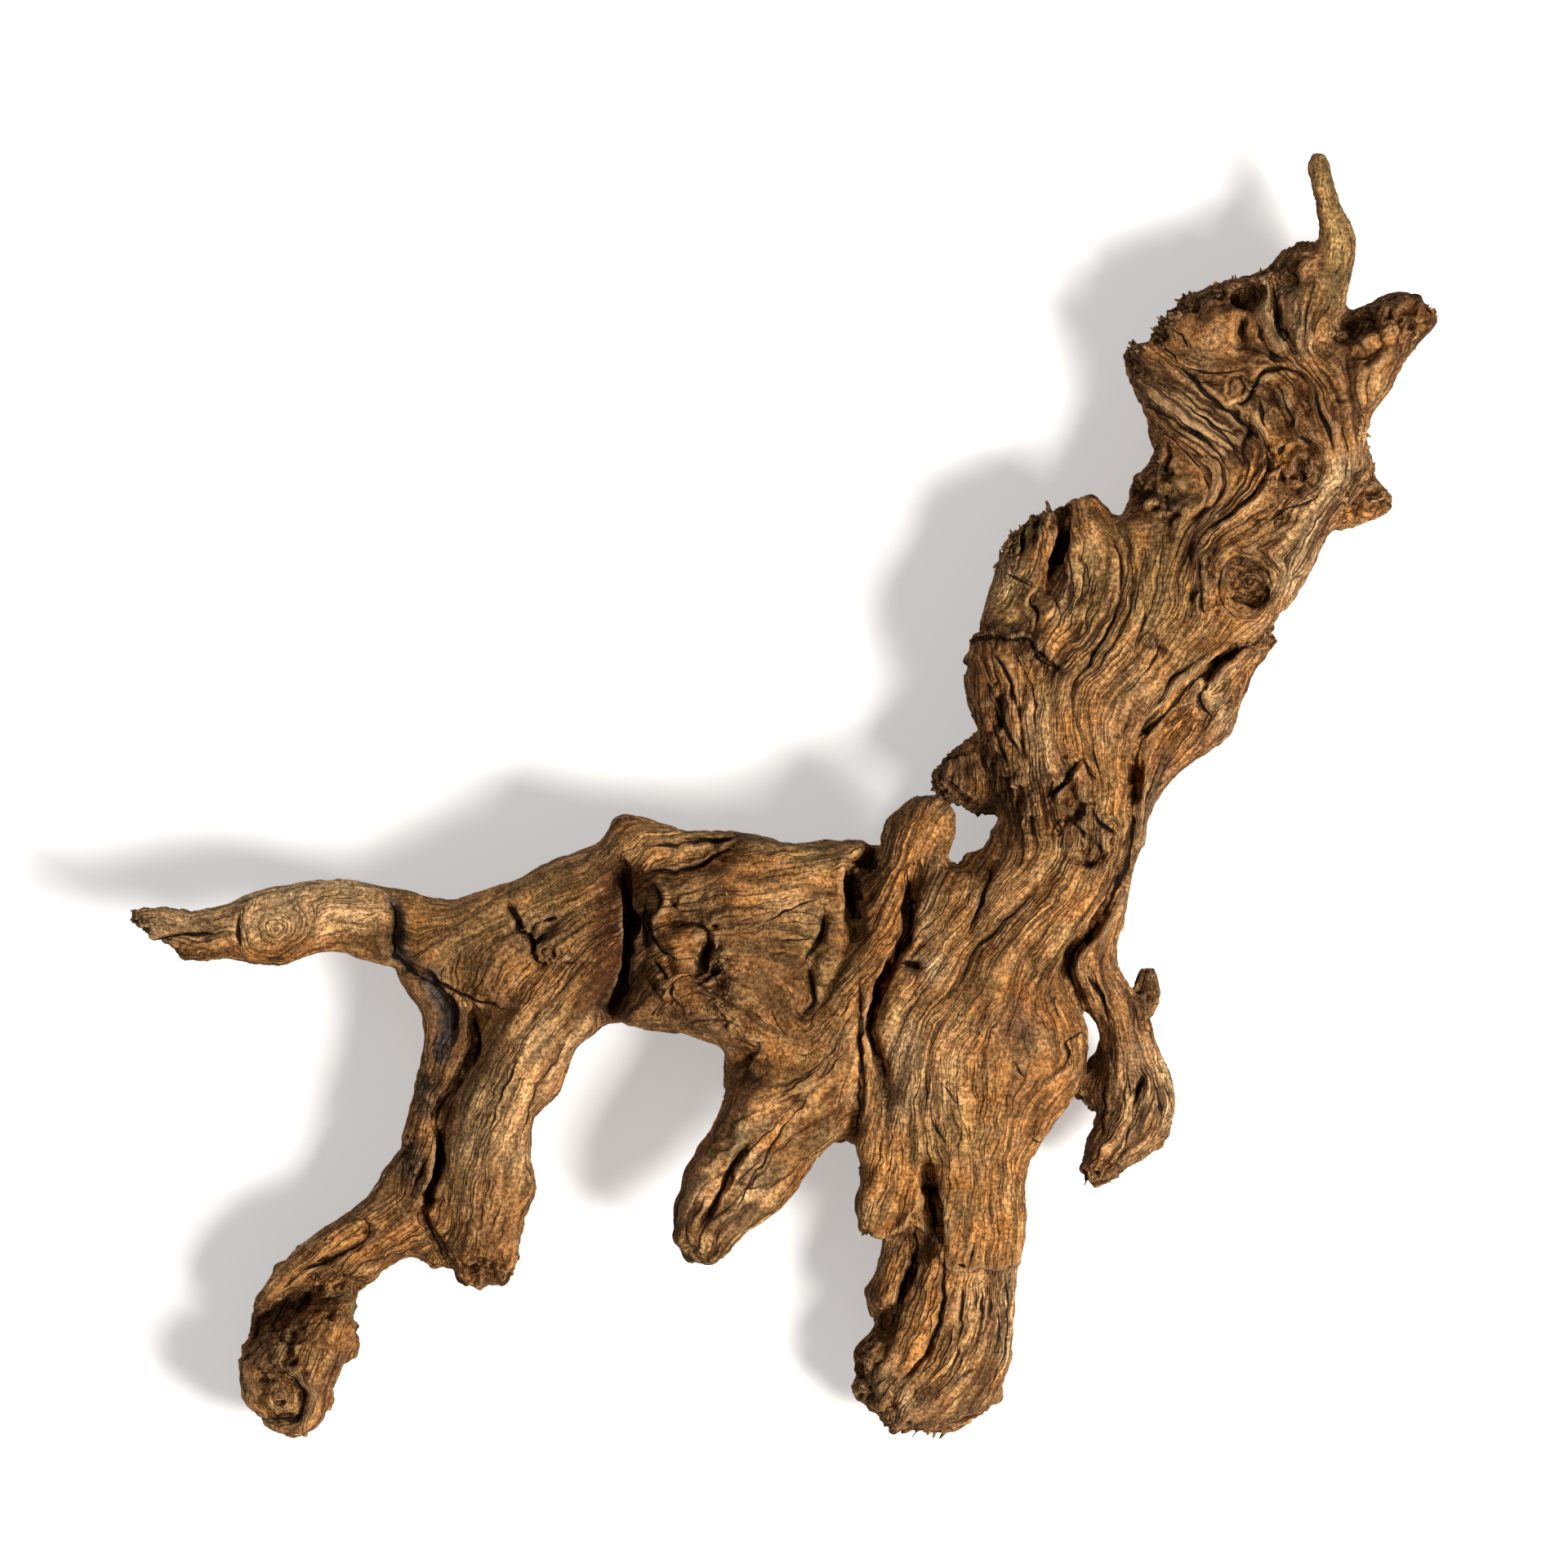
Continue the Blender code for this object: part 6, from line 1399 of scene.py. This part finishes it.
@dataclass
class WoodBody:
    """The wood itself: the solid cut finer, carved and coloured, in pieces that meet on hidden cuts."""

    grain: GrainField
    noise: LatticeNoise
    carver: Carver
    cracks: CrackLines
    voxel: float = 0.0016
    quick_voxel: float = 0.0019
    smoothing: int = 7
    mean_rounds: tuple[int, int] = (8, 70)
    rest_heights: Span = (0.0004, 0.0022)
    height_blur: float = 5.0
    thinnest: float = 0.003
    sunk_depths: tuple[Span, Span] = ((0.0001, 0.0008), (0.0003, 0.0026))
    raised_heights: tuple[Span, Span] = ((0.00008, 0.0006), (0.0003, 0.0018))
    surface: Surface = field(init=False)
    cuts: tuple[tuple[str, float, float, float, float], ...] = (
        ("left_arm_and_hip", 0, 735, 0, 1330),
        ("left_legs", 0, 735, 1330, 1920),
        ("body_and_middle_leg", 735, 1045, 0, 1920),
        ("crown", 1045, 1920, 0, 570),
        ("trunk", 1045, 1920, 570, 900),
        ("chest", 1045, 1920, 900, 1230),
        ("belly_and_right_leg", 1045, 1920, 1230, 1920),
    )

    def build(self, node: bpy.types.Object, material: bpy.types.Material) -> list[bpy.types.Object]:
        """Makes the carved pieces.

        Args:
            node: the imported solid.
            material: the wood's material.

        Returns:
            The pieces, each closed by a cut inside the wood.
        """
        mesh = self._finer(node)
        place, normal = self._read(mesh)
        heights = self._heights(place)
        smooth = Surface(self.grain, self.noise, place, normal, *heights)
        relief = self.carver.relief(smooth)
        low, high = wood_box()
        rest = smoothstep(low[2] + self.rest_heights[0], low[2] + self.rest_heights[1], place[:, 2])
        place += (normal * relief[:, None] + self.carver.torn_ends(smooth)) * rest[:, None]
        write_values(mesh.vertices, "co", np.clip(place, low, high))
        mesh.update()
        self.surface = Surface(self.grain, self.noise, *self._read(mesh), *heights)
        self._dress(mesh, relief)
        deepest, highest = 1000 * relief.min(), 1000 * relief.max()
        log.info("carved %d points, relief from %.2f to %.2f mm", len(place), deepest, highest)
        mesh.materials.clear()
        mesh.materials.append(material)
        return [self._cut_out(mesh, *cut) for cut in self.cuts]

    def _finer(self, node: bpy.types.Object) -> bpy.types.Mesh:
        """Returns the solid's mesh with even, fine faces and no facets."""
        mesh = node.data.copy()
        work = bmesh.new()
        work.from_mesh(mesh)
        bmesh.ops.remove_doubles(work, verts=work.verts, dist=1e-6)
        work.to_mesh(mesh)
        work.free()
        piece = add_object("finer", mesh)
        remesh = piece.modifiers.new("even faces", "REMESH")
        remesh.mode = "VOXEL"
        remesh.voxel_size = self.voxel
        smooth = piece.modifiers.new("no facets", "SMOOTH")
        smooth.factor = 0.5
        smooth.iterations = self.smoothing
        finer = piece.modifiers.new("finer", "SUBSURF")
        finer.levels = finer.render_levels = 1
        return run_modifiers(piece)

    def _read(self, mesh: bpy.types.Mesh) -> tuple[Array, Array]:
        """Returns the mesh's points and their normals."""
        found = read_values(mesh.vertices, "co", 3), read_values(mesh.vertex_normals, "vector", 3)
        return found[0].astype(float), found[1].astype(float)

    def _heights(self, place: Array) -> tuple[Array, Array]:
        """Returns the height of the middle of the wood over the drawing, and half its thickness."""
        g = self.grain
        column, row = (np.clip((at / g.cell).astype(int), 0, g.count - 1) for at in drawn(place))
        top = np.full((g.count, g.count), -1.0)
        low = np.full((g.count, g.count), 1.0)
        np.maximum.at(top, (row, column), place[:, 2])
        np.minimum.at(low, (row, column), place[:, 2])
        there = top > -1
        weight = g.blur(there.astype(float), self.height_blur) + 1e-6
        top, low = (g.blur(np.where(there, layer, 0), self.height_blur) / weight for layer in (top, low))
        return (top + low) / 2, np.maximum((top - low) / 2, self.thinnest)

    def _dress(self, mesh: bpy.types.Mesh, relief: Array) -> None:
        """Writes the attributes that the wood's material reads."""
        s = self.surface
        side, near = self.cracks.measure(s)
        edges = read_values(mesh.edges, "vertices", 2, np.int32)
        # How far each place lies below or above the wood round it, at two widths: the material paints shade
        # into the hollows and a pale highlight, partly worn wood, onto the crests.
        above = [self._raised(relief, edges, rounds) for rounds in self.mean_rounds]
        sunk = np.maximum(*(smoothstep(*span, -rise) for span, rise in zip(self.sunk_depths, above)))
        raised = np.maximum(*(smoothstep(*span, rise) for span, rise in zip(self.raised_heights, above)))
        scored = np.maximum(s.spread(RIDGED) * s.upper, 0.5 * (1 - s.upper)) - s.spread(CALM) * s.upper
        tones = (Tone.GREY, Tone.DARK, Tone.ORANGE, Tone.PALE)
        stains_and_painted_light = [s.spread(TONES[tone]) * s.upper for tone in tones]
        for name, kind, part, values in (
            ("grain", "FLOAT_VECTOR", "vector", rows(s.across, s.depth, s.along)),
            ("crack_side", "FLOAT_COLOR", "color", side),
            ("crack_near", "FLOAT_COLOR", "color", near),
            ("stains_and_painted_light", "FLOAT_COLOR", "color", rows(*stains_and_painted_light)),
            ("wear_and_painted_light", "FLOAT_COLOR", "color", rows(sunk, raised, s.eaten(), scored)),
            ("moss_stain", "FLOAT", "value", s.spread(TONES[Tone.OLIVE]) * s.upper),
            ("smooth_normal", "FLOAT_VECTOR", "vector", s.normal),
        ):
            write_values(mesh.attributes.new(name, kind, "POINT").data, part, values)

    def _raised(self, relief: Array, edges: Array, rounds: int) -> Array:
        """Returns how far each place stands above the mean of those round it, wider with more rounds."""
        count = len(relief)
        ways = np.bincount(edges[:, 0], minlength=count) + np.bincount(edges[:, 1], minlength=count)
        mean = relief.copy()
        for _ in range(rounds):
            total = np.bincount(edges[:, 0], mean[edges[:, 1]], count)
            total += np.bincount(edges[:, 1], mean[edges[:, 0]], count)
            mean = 0.5 * mean + 0.5 * total / np.maximum(ways, 1)
        return relief - mean

    def _cut_out(
        self, mesh: bpy.types.Mesh, name: str, left: float, right: float, top: float, bottom: float
    ) -> bpy.types.Object:
        """Returns the part of the wood inside these drawing limits, closed by flat faces at the cuts."""
        work = bmesh.new()
        work.from_mesh(mesh)
        limits = ((left, 0), (right, 0), (0, top), (0, bottom))
        for at, away in zip(limits, ((-1, 0), (1, 0), (0, 1), (0, -1))):
            if max(at) in (0, DRAWN_SIDE):
                continue
            plane = {"plane_co": (*metres(*at), 0), "plane_no": (*away, 0), "dist": 1e-7}
            everything = work.verts[:] + work.edges[:] + work.faces[:]
            bmesh.ops.bisect_plane(work, geom=everything, clear_outer=True, **plane)
            open_edges = [edge for edge in work.edges if edge.is_boundary]
            filled = bmesh.ops.holes_fill(work, edges=open_edges, sides=0)
            bmesh.ops.triangulate(work, faces=filled["faces"])
        made = bpy.data.meshes.new(name)
        work.to_mesh(made)
        work.free()
        made.materials.append(mesh.materials[0])
        normal = read_values(made.attributes["smooth_normal"].data, "vector", 3)
        made.attributes.remove(made.attributes["smooth_normal"])
        made.polygons.foreach_set("use_smooth", np.ones(len(made.polygons), bool))
        made.normals_split_custom_set_from_vertices(normal)
        made.calc_loop_triangles()
        log.info("%s: %d triangles", name, len(made.loop_triangles))
        return add_object(name, made)


@dataclass
class TornFibres:
    """Splinters on the broken rims and loose fibres on the eaten places, set out by Geometry Nodes."""

    surface: Surface
    rim_count: int = 280
    rim_length: float = 0.0044
    loose_count: int = 480
    loose_length: float = 0.0030
    thickness: float = 0.00095
    spread: float = 0.55
    crook: float = 0.0011
    sunk: float = 0.0005
    out_tilt: float = 0.7
    lying_tilt: float = 0.12
    clump_width: float = 0.005
    clump_edge: Span = (0.45, 0.6)
    rim_clear: Span = (0.004, 0.012)
    loose_clear: Span = (0.003, 0.008)
    thick_range: Span = (0.45, 1.35)
    flatness: float = 0.6
    bend_scale: float = 420.0
    seed: int = 8
    inputs: tuple[tuple[str, str], ...] = (
        ("Thickness", "Float"), ("Spread", "Float"), ("Crook", "Float"), ("Seed", "Int"),
        ("Finish", "Material"),
    )

    def build(self, material: bpy.types.Material) -> list[bpy.types.Object]:
        """Returns the two sets of fibres.

        Args:
            material: the finish of the fibres.

        Returns:
            One object for the rims and one for the rest.
        """
        s = self.surface
        tree = self._tree()
        dice = np.random.default_rng(self.seed)
        way, facing = s.run()
        flat = way - (way * s.normal).sum(1, keepdims=True) * s.normal
        out = way * np.sign(facing)[:, None] + self.out_tilt * s.normal
        clumps = smoothstep(*self.clump_edge, s.lumps(self.clump_width, 1)) + 0.05
        end = s.spread(SPLINTERED) ** 2 * clumps * smoothstep(*self.rim_clear, s.place[:, 2])
        spots = self._pick(dice, end, self.rim_count)
        rims = self._grow(tree, "rim_splinters", spots, out, self.rim_length, material, dice)
        eaten = s.spread(ROUGH) ** 2 + 0.06
        eaten = eaten * smoothstep(*self.loose_clear, s.place[:, 2]) * (0.25 + 0.75 * s.upper)
        lying = flat * dice.choice((-1.0, 1.0), len(s.x))[:, None] + self.lying_tilt * s.normal
        spots = self._pick(dice, eaten, self.loose_count)
        return [rims, self._grow(tree, "loose_fibres", spots, lying, self.loose_length, material, dice)]

    def _pick(self, dice: np.random.Generator, weight: Array, count: int) -> Array:
        """Returns the numbers of places picked by weight."""
        return dice.choice(len(weight), count, replace=False, p=weight / weight.sum())

    def _tree(self) -> bpy.types.NodeTree:
        """Returns the tree that stands one tapered fibre on each point of a mesh."""
        tree = bpy.data.node_groups.new("torn_fibres", "GeometryNodeTree")
        for name, kind in (("Geometry", "Geometry"), *self.inputs):
            tree.interface.new_socket(name=name, in_out="INPUT", socket_type="NodeSocket" + kind)
        tree.interface.new_socket(name="Geometry", in_out="OUTPUT", socket_type="NodeSocketGeometry")
        s = Sheet(tree)
        given = s.add("NodeGroupInput").outputs
        points = s.add("GeometryNodeMeshToPoints", mode="VERTICES", Mesh=given["Geometry"])
        shape = {"Vertices": 5, "Side_Segments": 4, "Radius_Top": 0.45, "Radius_Bottom": 1.0, "Depth": 1.0}
        cone = s.add("GeometryNodeMeshCone", fill_type="NGON", **shape)
        lean, length = (
            s.add("GeometryNodeInputNamedAttribute", data_type=kind, Name=name).outputs["Attribute"]
            for name, kind in (("lean", "FLOAT_VECTOR"), ("length", "FLOAT"))
        )
        ends = {"Min": (-1, -1, -1), "Max": (1, 1, 1)}
        tilt = s.add("FunctionNodeRandomValue", data_type="FLOAT_VECTOR", Seed=given["Seed"], **ends)
        leant = s.vector("MULTIPLY_ADD", tilt.outputs["Value"], given["Spread"], lean)
        turned = s.add("FunctionNodeAlignRotationToVector", axis="Z", Vector=leant)
        chance = s.add("FunctionNodeRandomValue", data_type="FLOAT", Seed=given["Seed"])
        for socket, value in zip(chance.inputs[2:4], self.thick_range):
            s.put(socket, value)
        thick = s.times(given["Thickness"], chance.outputs[1])
        size = s.add("ShaderNodeCombineXYZ", X=thick, Y=s.times(thick, self.flatness), Z=length)
        stood = s.add(
            "GeometryNodeInstanceOnPoints", Points=points.outputs[0], Instance=cone.outputs["Mesh"],
            Rotation=turned.outputs["Rotation"], Scale=size.outputs[0],
        )
        real = s.add("GeometryNodeRealizeInstances", Geometry=stood.outputs["Instances"])
        bend = s.add("ShaderNodeTexNoise", Scale=self.bend_scale)
        away = s.vector("SUBTRACT", bend.outputs["Color"], (0.5, 0.5, 0.5))
        moved = s.add("ShaderNodeVectorMath", operation="SCALE", Vector=away, Scale=given["Crook"])
        crook = s.add("GeometryNodeSetPosition", Geometry=real.outputs[0], Offset=moved.outputs[0])
        finish = s.add("GeometryNodeSetMaterial", Geometry=crook.outputs[0], Material=given["Finish"])
        s.add("NodeGroupOutput", Geometry=finish.outputs[0])
        return tree

    def _grow(
        self, tree: bpy.types.NodeTree, name: str, spots: Array, lean: Array, longest: float,
        material: bpy.types.Material, dice: np.random.Generator,
    ) -> bpy.types.Object:
        """Stands fibres on the spots.

        Args:
            tree: the Geometry Nodes tree.
            name: the name of the new object.
            spots: the numbers of the surface's places that get a fibre.
            lean: the way a fibre would point at every place of the surface.
            longest: the length of the longest fibre.
            material: the finish.
            dice: the source of the lengths.

        Returns:
            The fibres as one plain mesh, its faces pointing out.
        """
        s = self.surface
        seeds = bpy.data.meshes.new(name + "_spots")
        seeds.from_pydata((s.place[spots] - self.sunk * s.normal[spots]).tolist(), [], [])
        lengths = longest * (0.3 + 0.7 * dice.random(len(spots)) ** 2.5)
        write_values(seeds.attributes.new("lean", "FLOAT_VECTOR", "POINT").data, "vector", lean[spots])
        write_values(seeds.attributes.new("length", "FLOAT", "POINT").data, "value", lengths)
        holder = add_object(name + "_holder", seeds)
        modifier = holder.modifiers.new("torn fibres", "NODES")
        modifier.node_group = tree
        values = (self.thickness, self.spread, self.crook, self.seed, material)
        wanted = dict(zip(dict(self.inputs), values))
        for item in tree.interface.items_tree:
            if item.in_out == "INPUT" and item.name in wanted:
                modifier[item.identifier] = wanted[item.name]
        made = run_modifiers(holder)
        made.name = name
        write_values(made.vertices, "co", np.clip(read_values(made.vertices, "co", 3), *wood_box()))
        log.info("%s: %d fibres, %d points", name, len(spots), len(made.vertices))
        return add_object(name, made)


@dataclass
class Studio:
    """The pale floor, the soft lights and the camera above the wood."""

    floor_side: float = 8.0
    sky: float = 0.22
    sky_colour: Colour = (1.0, 0.96, 0.92)
    camera_height: float = 4.8
    middle_height: float = 0.035
    sensor: float = 36.0
    lamp_target: Triple = (0.0, 0.0, 0.03)
    lamps: tuple[tuple[str, Triple, float, float, Colour], ...] = (
        ("key", (1.05, -0.58, 1.28), 0.6, 54.0, (1.0, 0.965, 0.92)),
        ("fill", (-0.9, 0.9, 1.6), 1.6, 3.0, (1.0, 0.97, 0.93)),
    )

    def build(self) -> None:
        """Makes the floor, the lights and the camera."""
        bpy.ops.mesh.primitive_plane_add(size=self.floor_side)
        floor = bpy.context.object
        floor.name = "floor"
        floor.data.materials.append(StudioFloor().material())
        world = bpy.data.worlds.new("soft_sky")
        world.use_nodes = True
        background = world.node_tree.nodes["Background"].inputs
        background["Color"].default_value = (*self.sky_colour, 1)
        background["Strength"].default_value = self.sky
        bpy.context.scene.world = world
        for lamp in self.lamps:
            self._lamp(*lamp)
        self._camera()
        bpy.context.scene.view_settings.view_transform = "Standard"
        log.info("floor, two lamps and camera")

    def _lamp(self, name: str, place: Triple, size: float, power: float, colour: Colour) -> None:
        """Adds one square lamp that points at the wood."""
        data = bpy.data.lights.new(name, "AREA")
        data.size = size
        data.energy = power
        data.color = colour
        lamp = add_object(name, data)
        lamp.location = place
        lamp.rotation_euler = (Vector(self.lamp_target) - Vector(place)).to_track_quat("-Z", "Y").to_euler()

    def _camera(self) -> None:
        """Adds the camera, straight above the middle of the drawing."""
        data = bpy.data.cameras.new("camera")
        data.sensor_width = self.sensor
        data.lens = self.sensor * (self.camera_height - self.middle_height) / (DRAWN_SIDE * UNIT)
        data.clip_end = 50.0
        camera = add_object("camera", data)
        camera.location = (*metres(DRAWN_SIDE / 2, DRAWN_SIDE / 2), self.camera_height)
        bpy.context.scene.camera = camera


def main() -> None:
    """Builds the studio and the wood, and says what rides on what."""
    logging.basicConfig(level=logging.INFO, format="%(name)s: %(message)s")
    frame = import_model()
    Studio().build()
    grain = GrainField()
    log.info("grain field of %d by %d cells", grain.count, grain.count)
    group = FibreLines().group()
    body = WoodBody(grain, LatticeNoise(5), Carver(), CrackLines())
    for piece in body.build(frame["nodes"][NODE], WeatheredWood().material(group)):
        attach(piece, "root")
        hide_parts(NODE)
    for piece in TornFibres(body.surface).build(TornFinish().material(group)):
        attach(piece, "root")


if __name__ == "__main__":
    main()
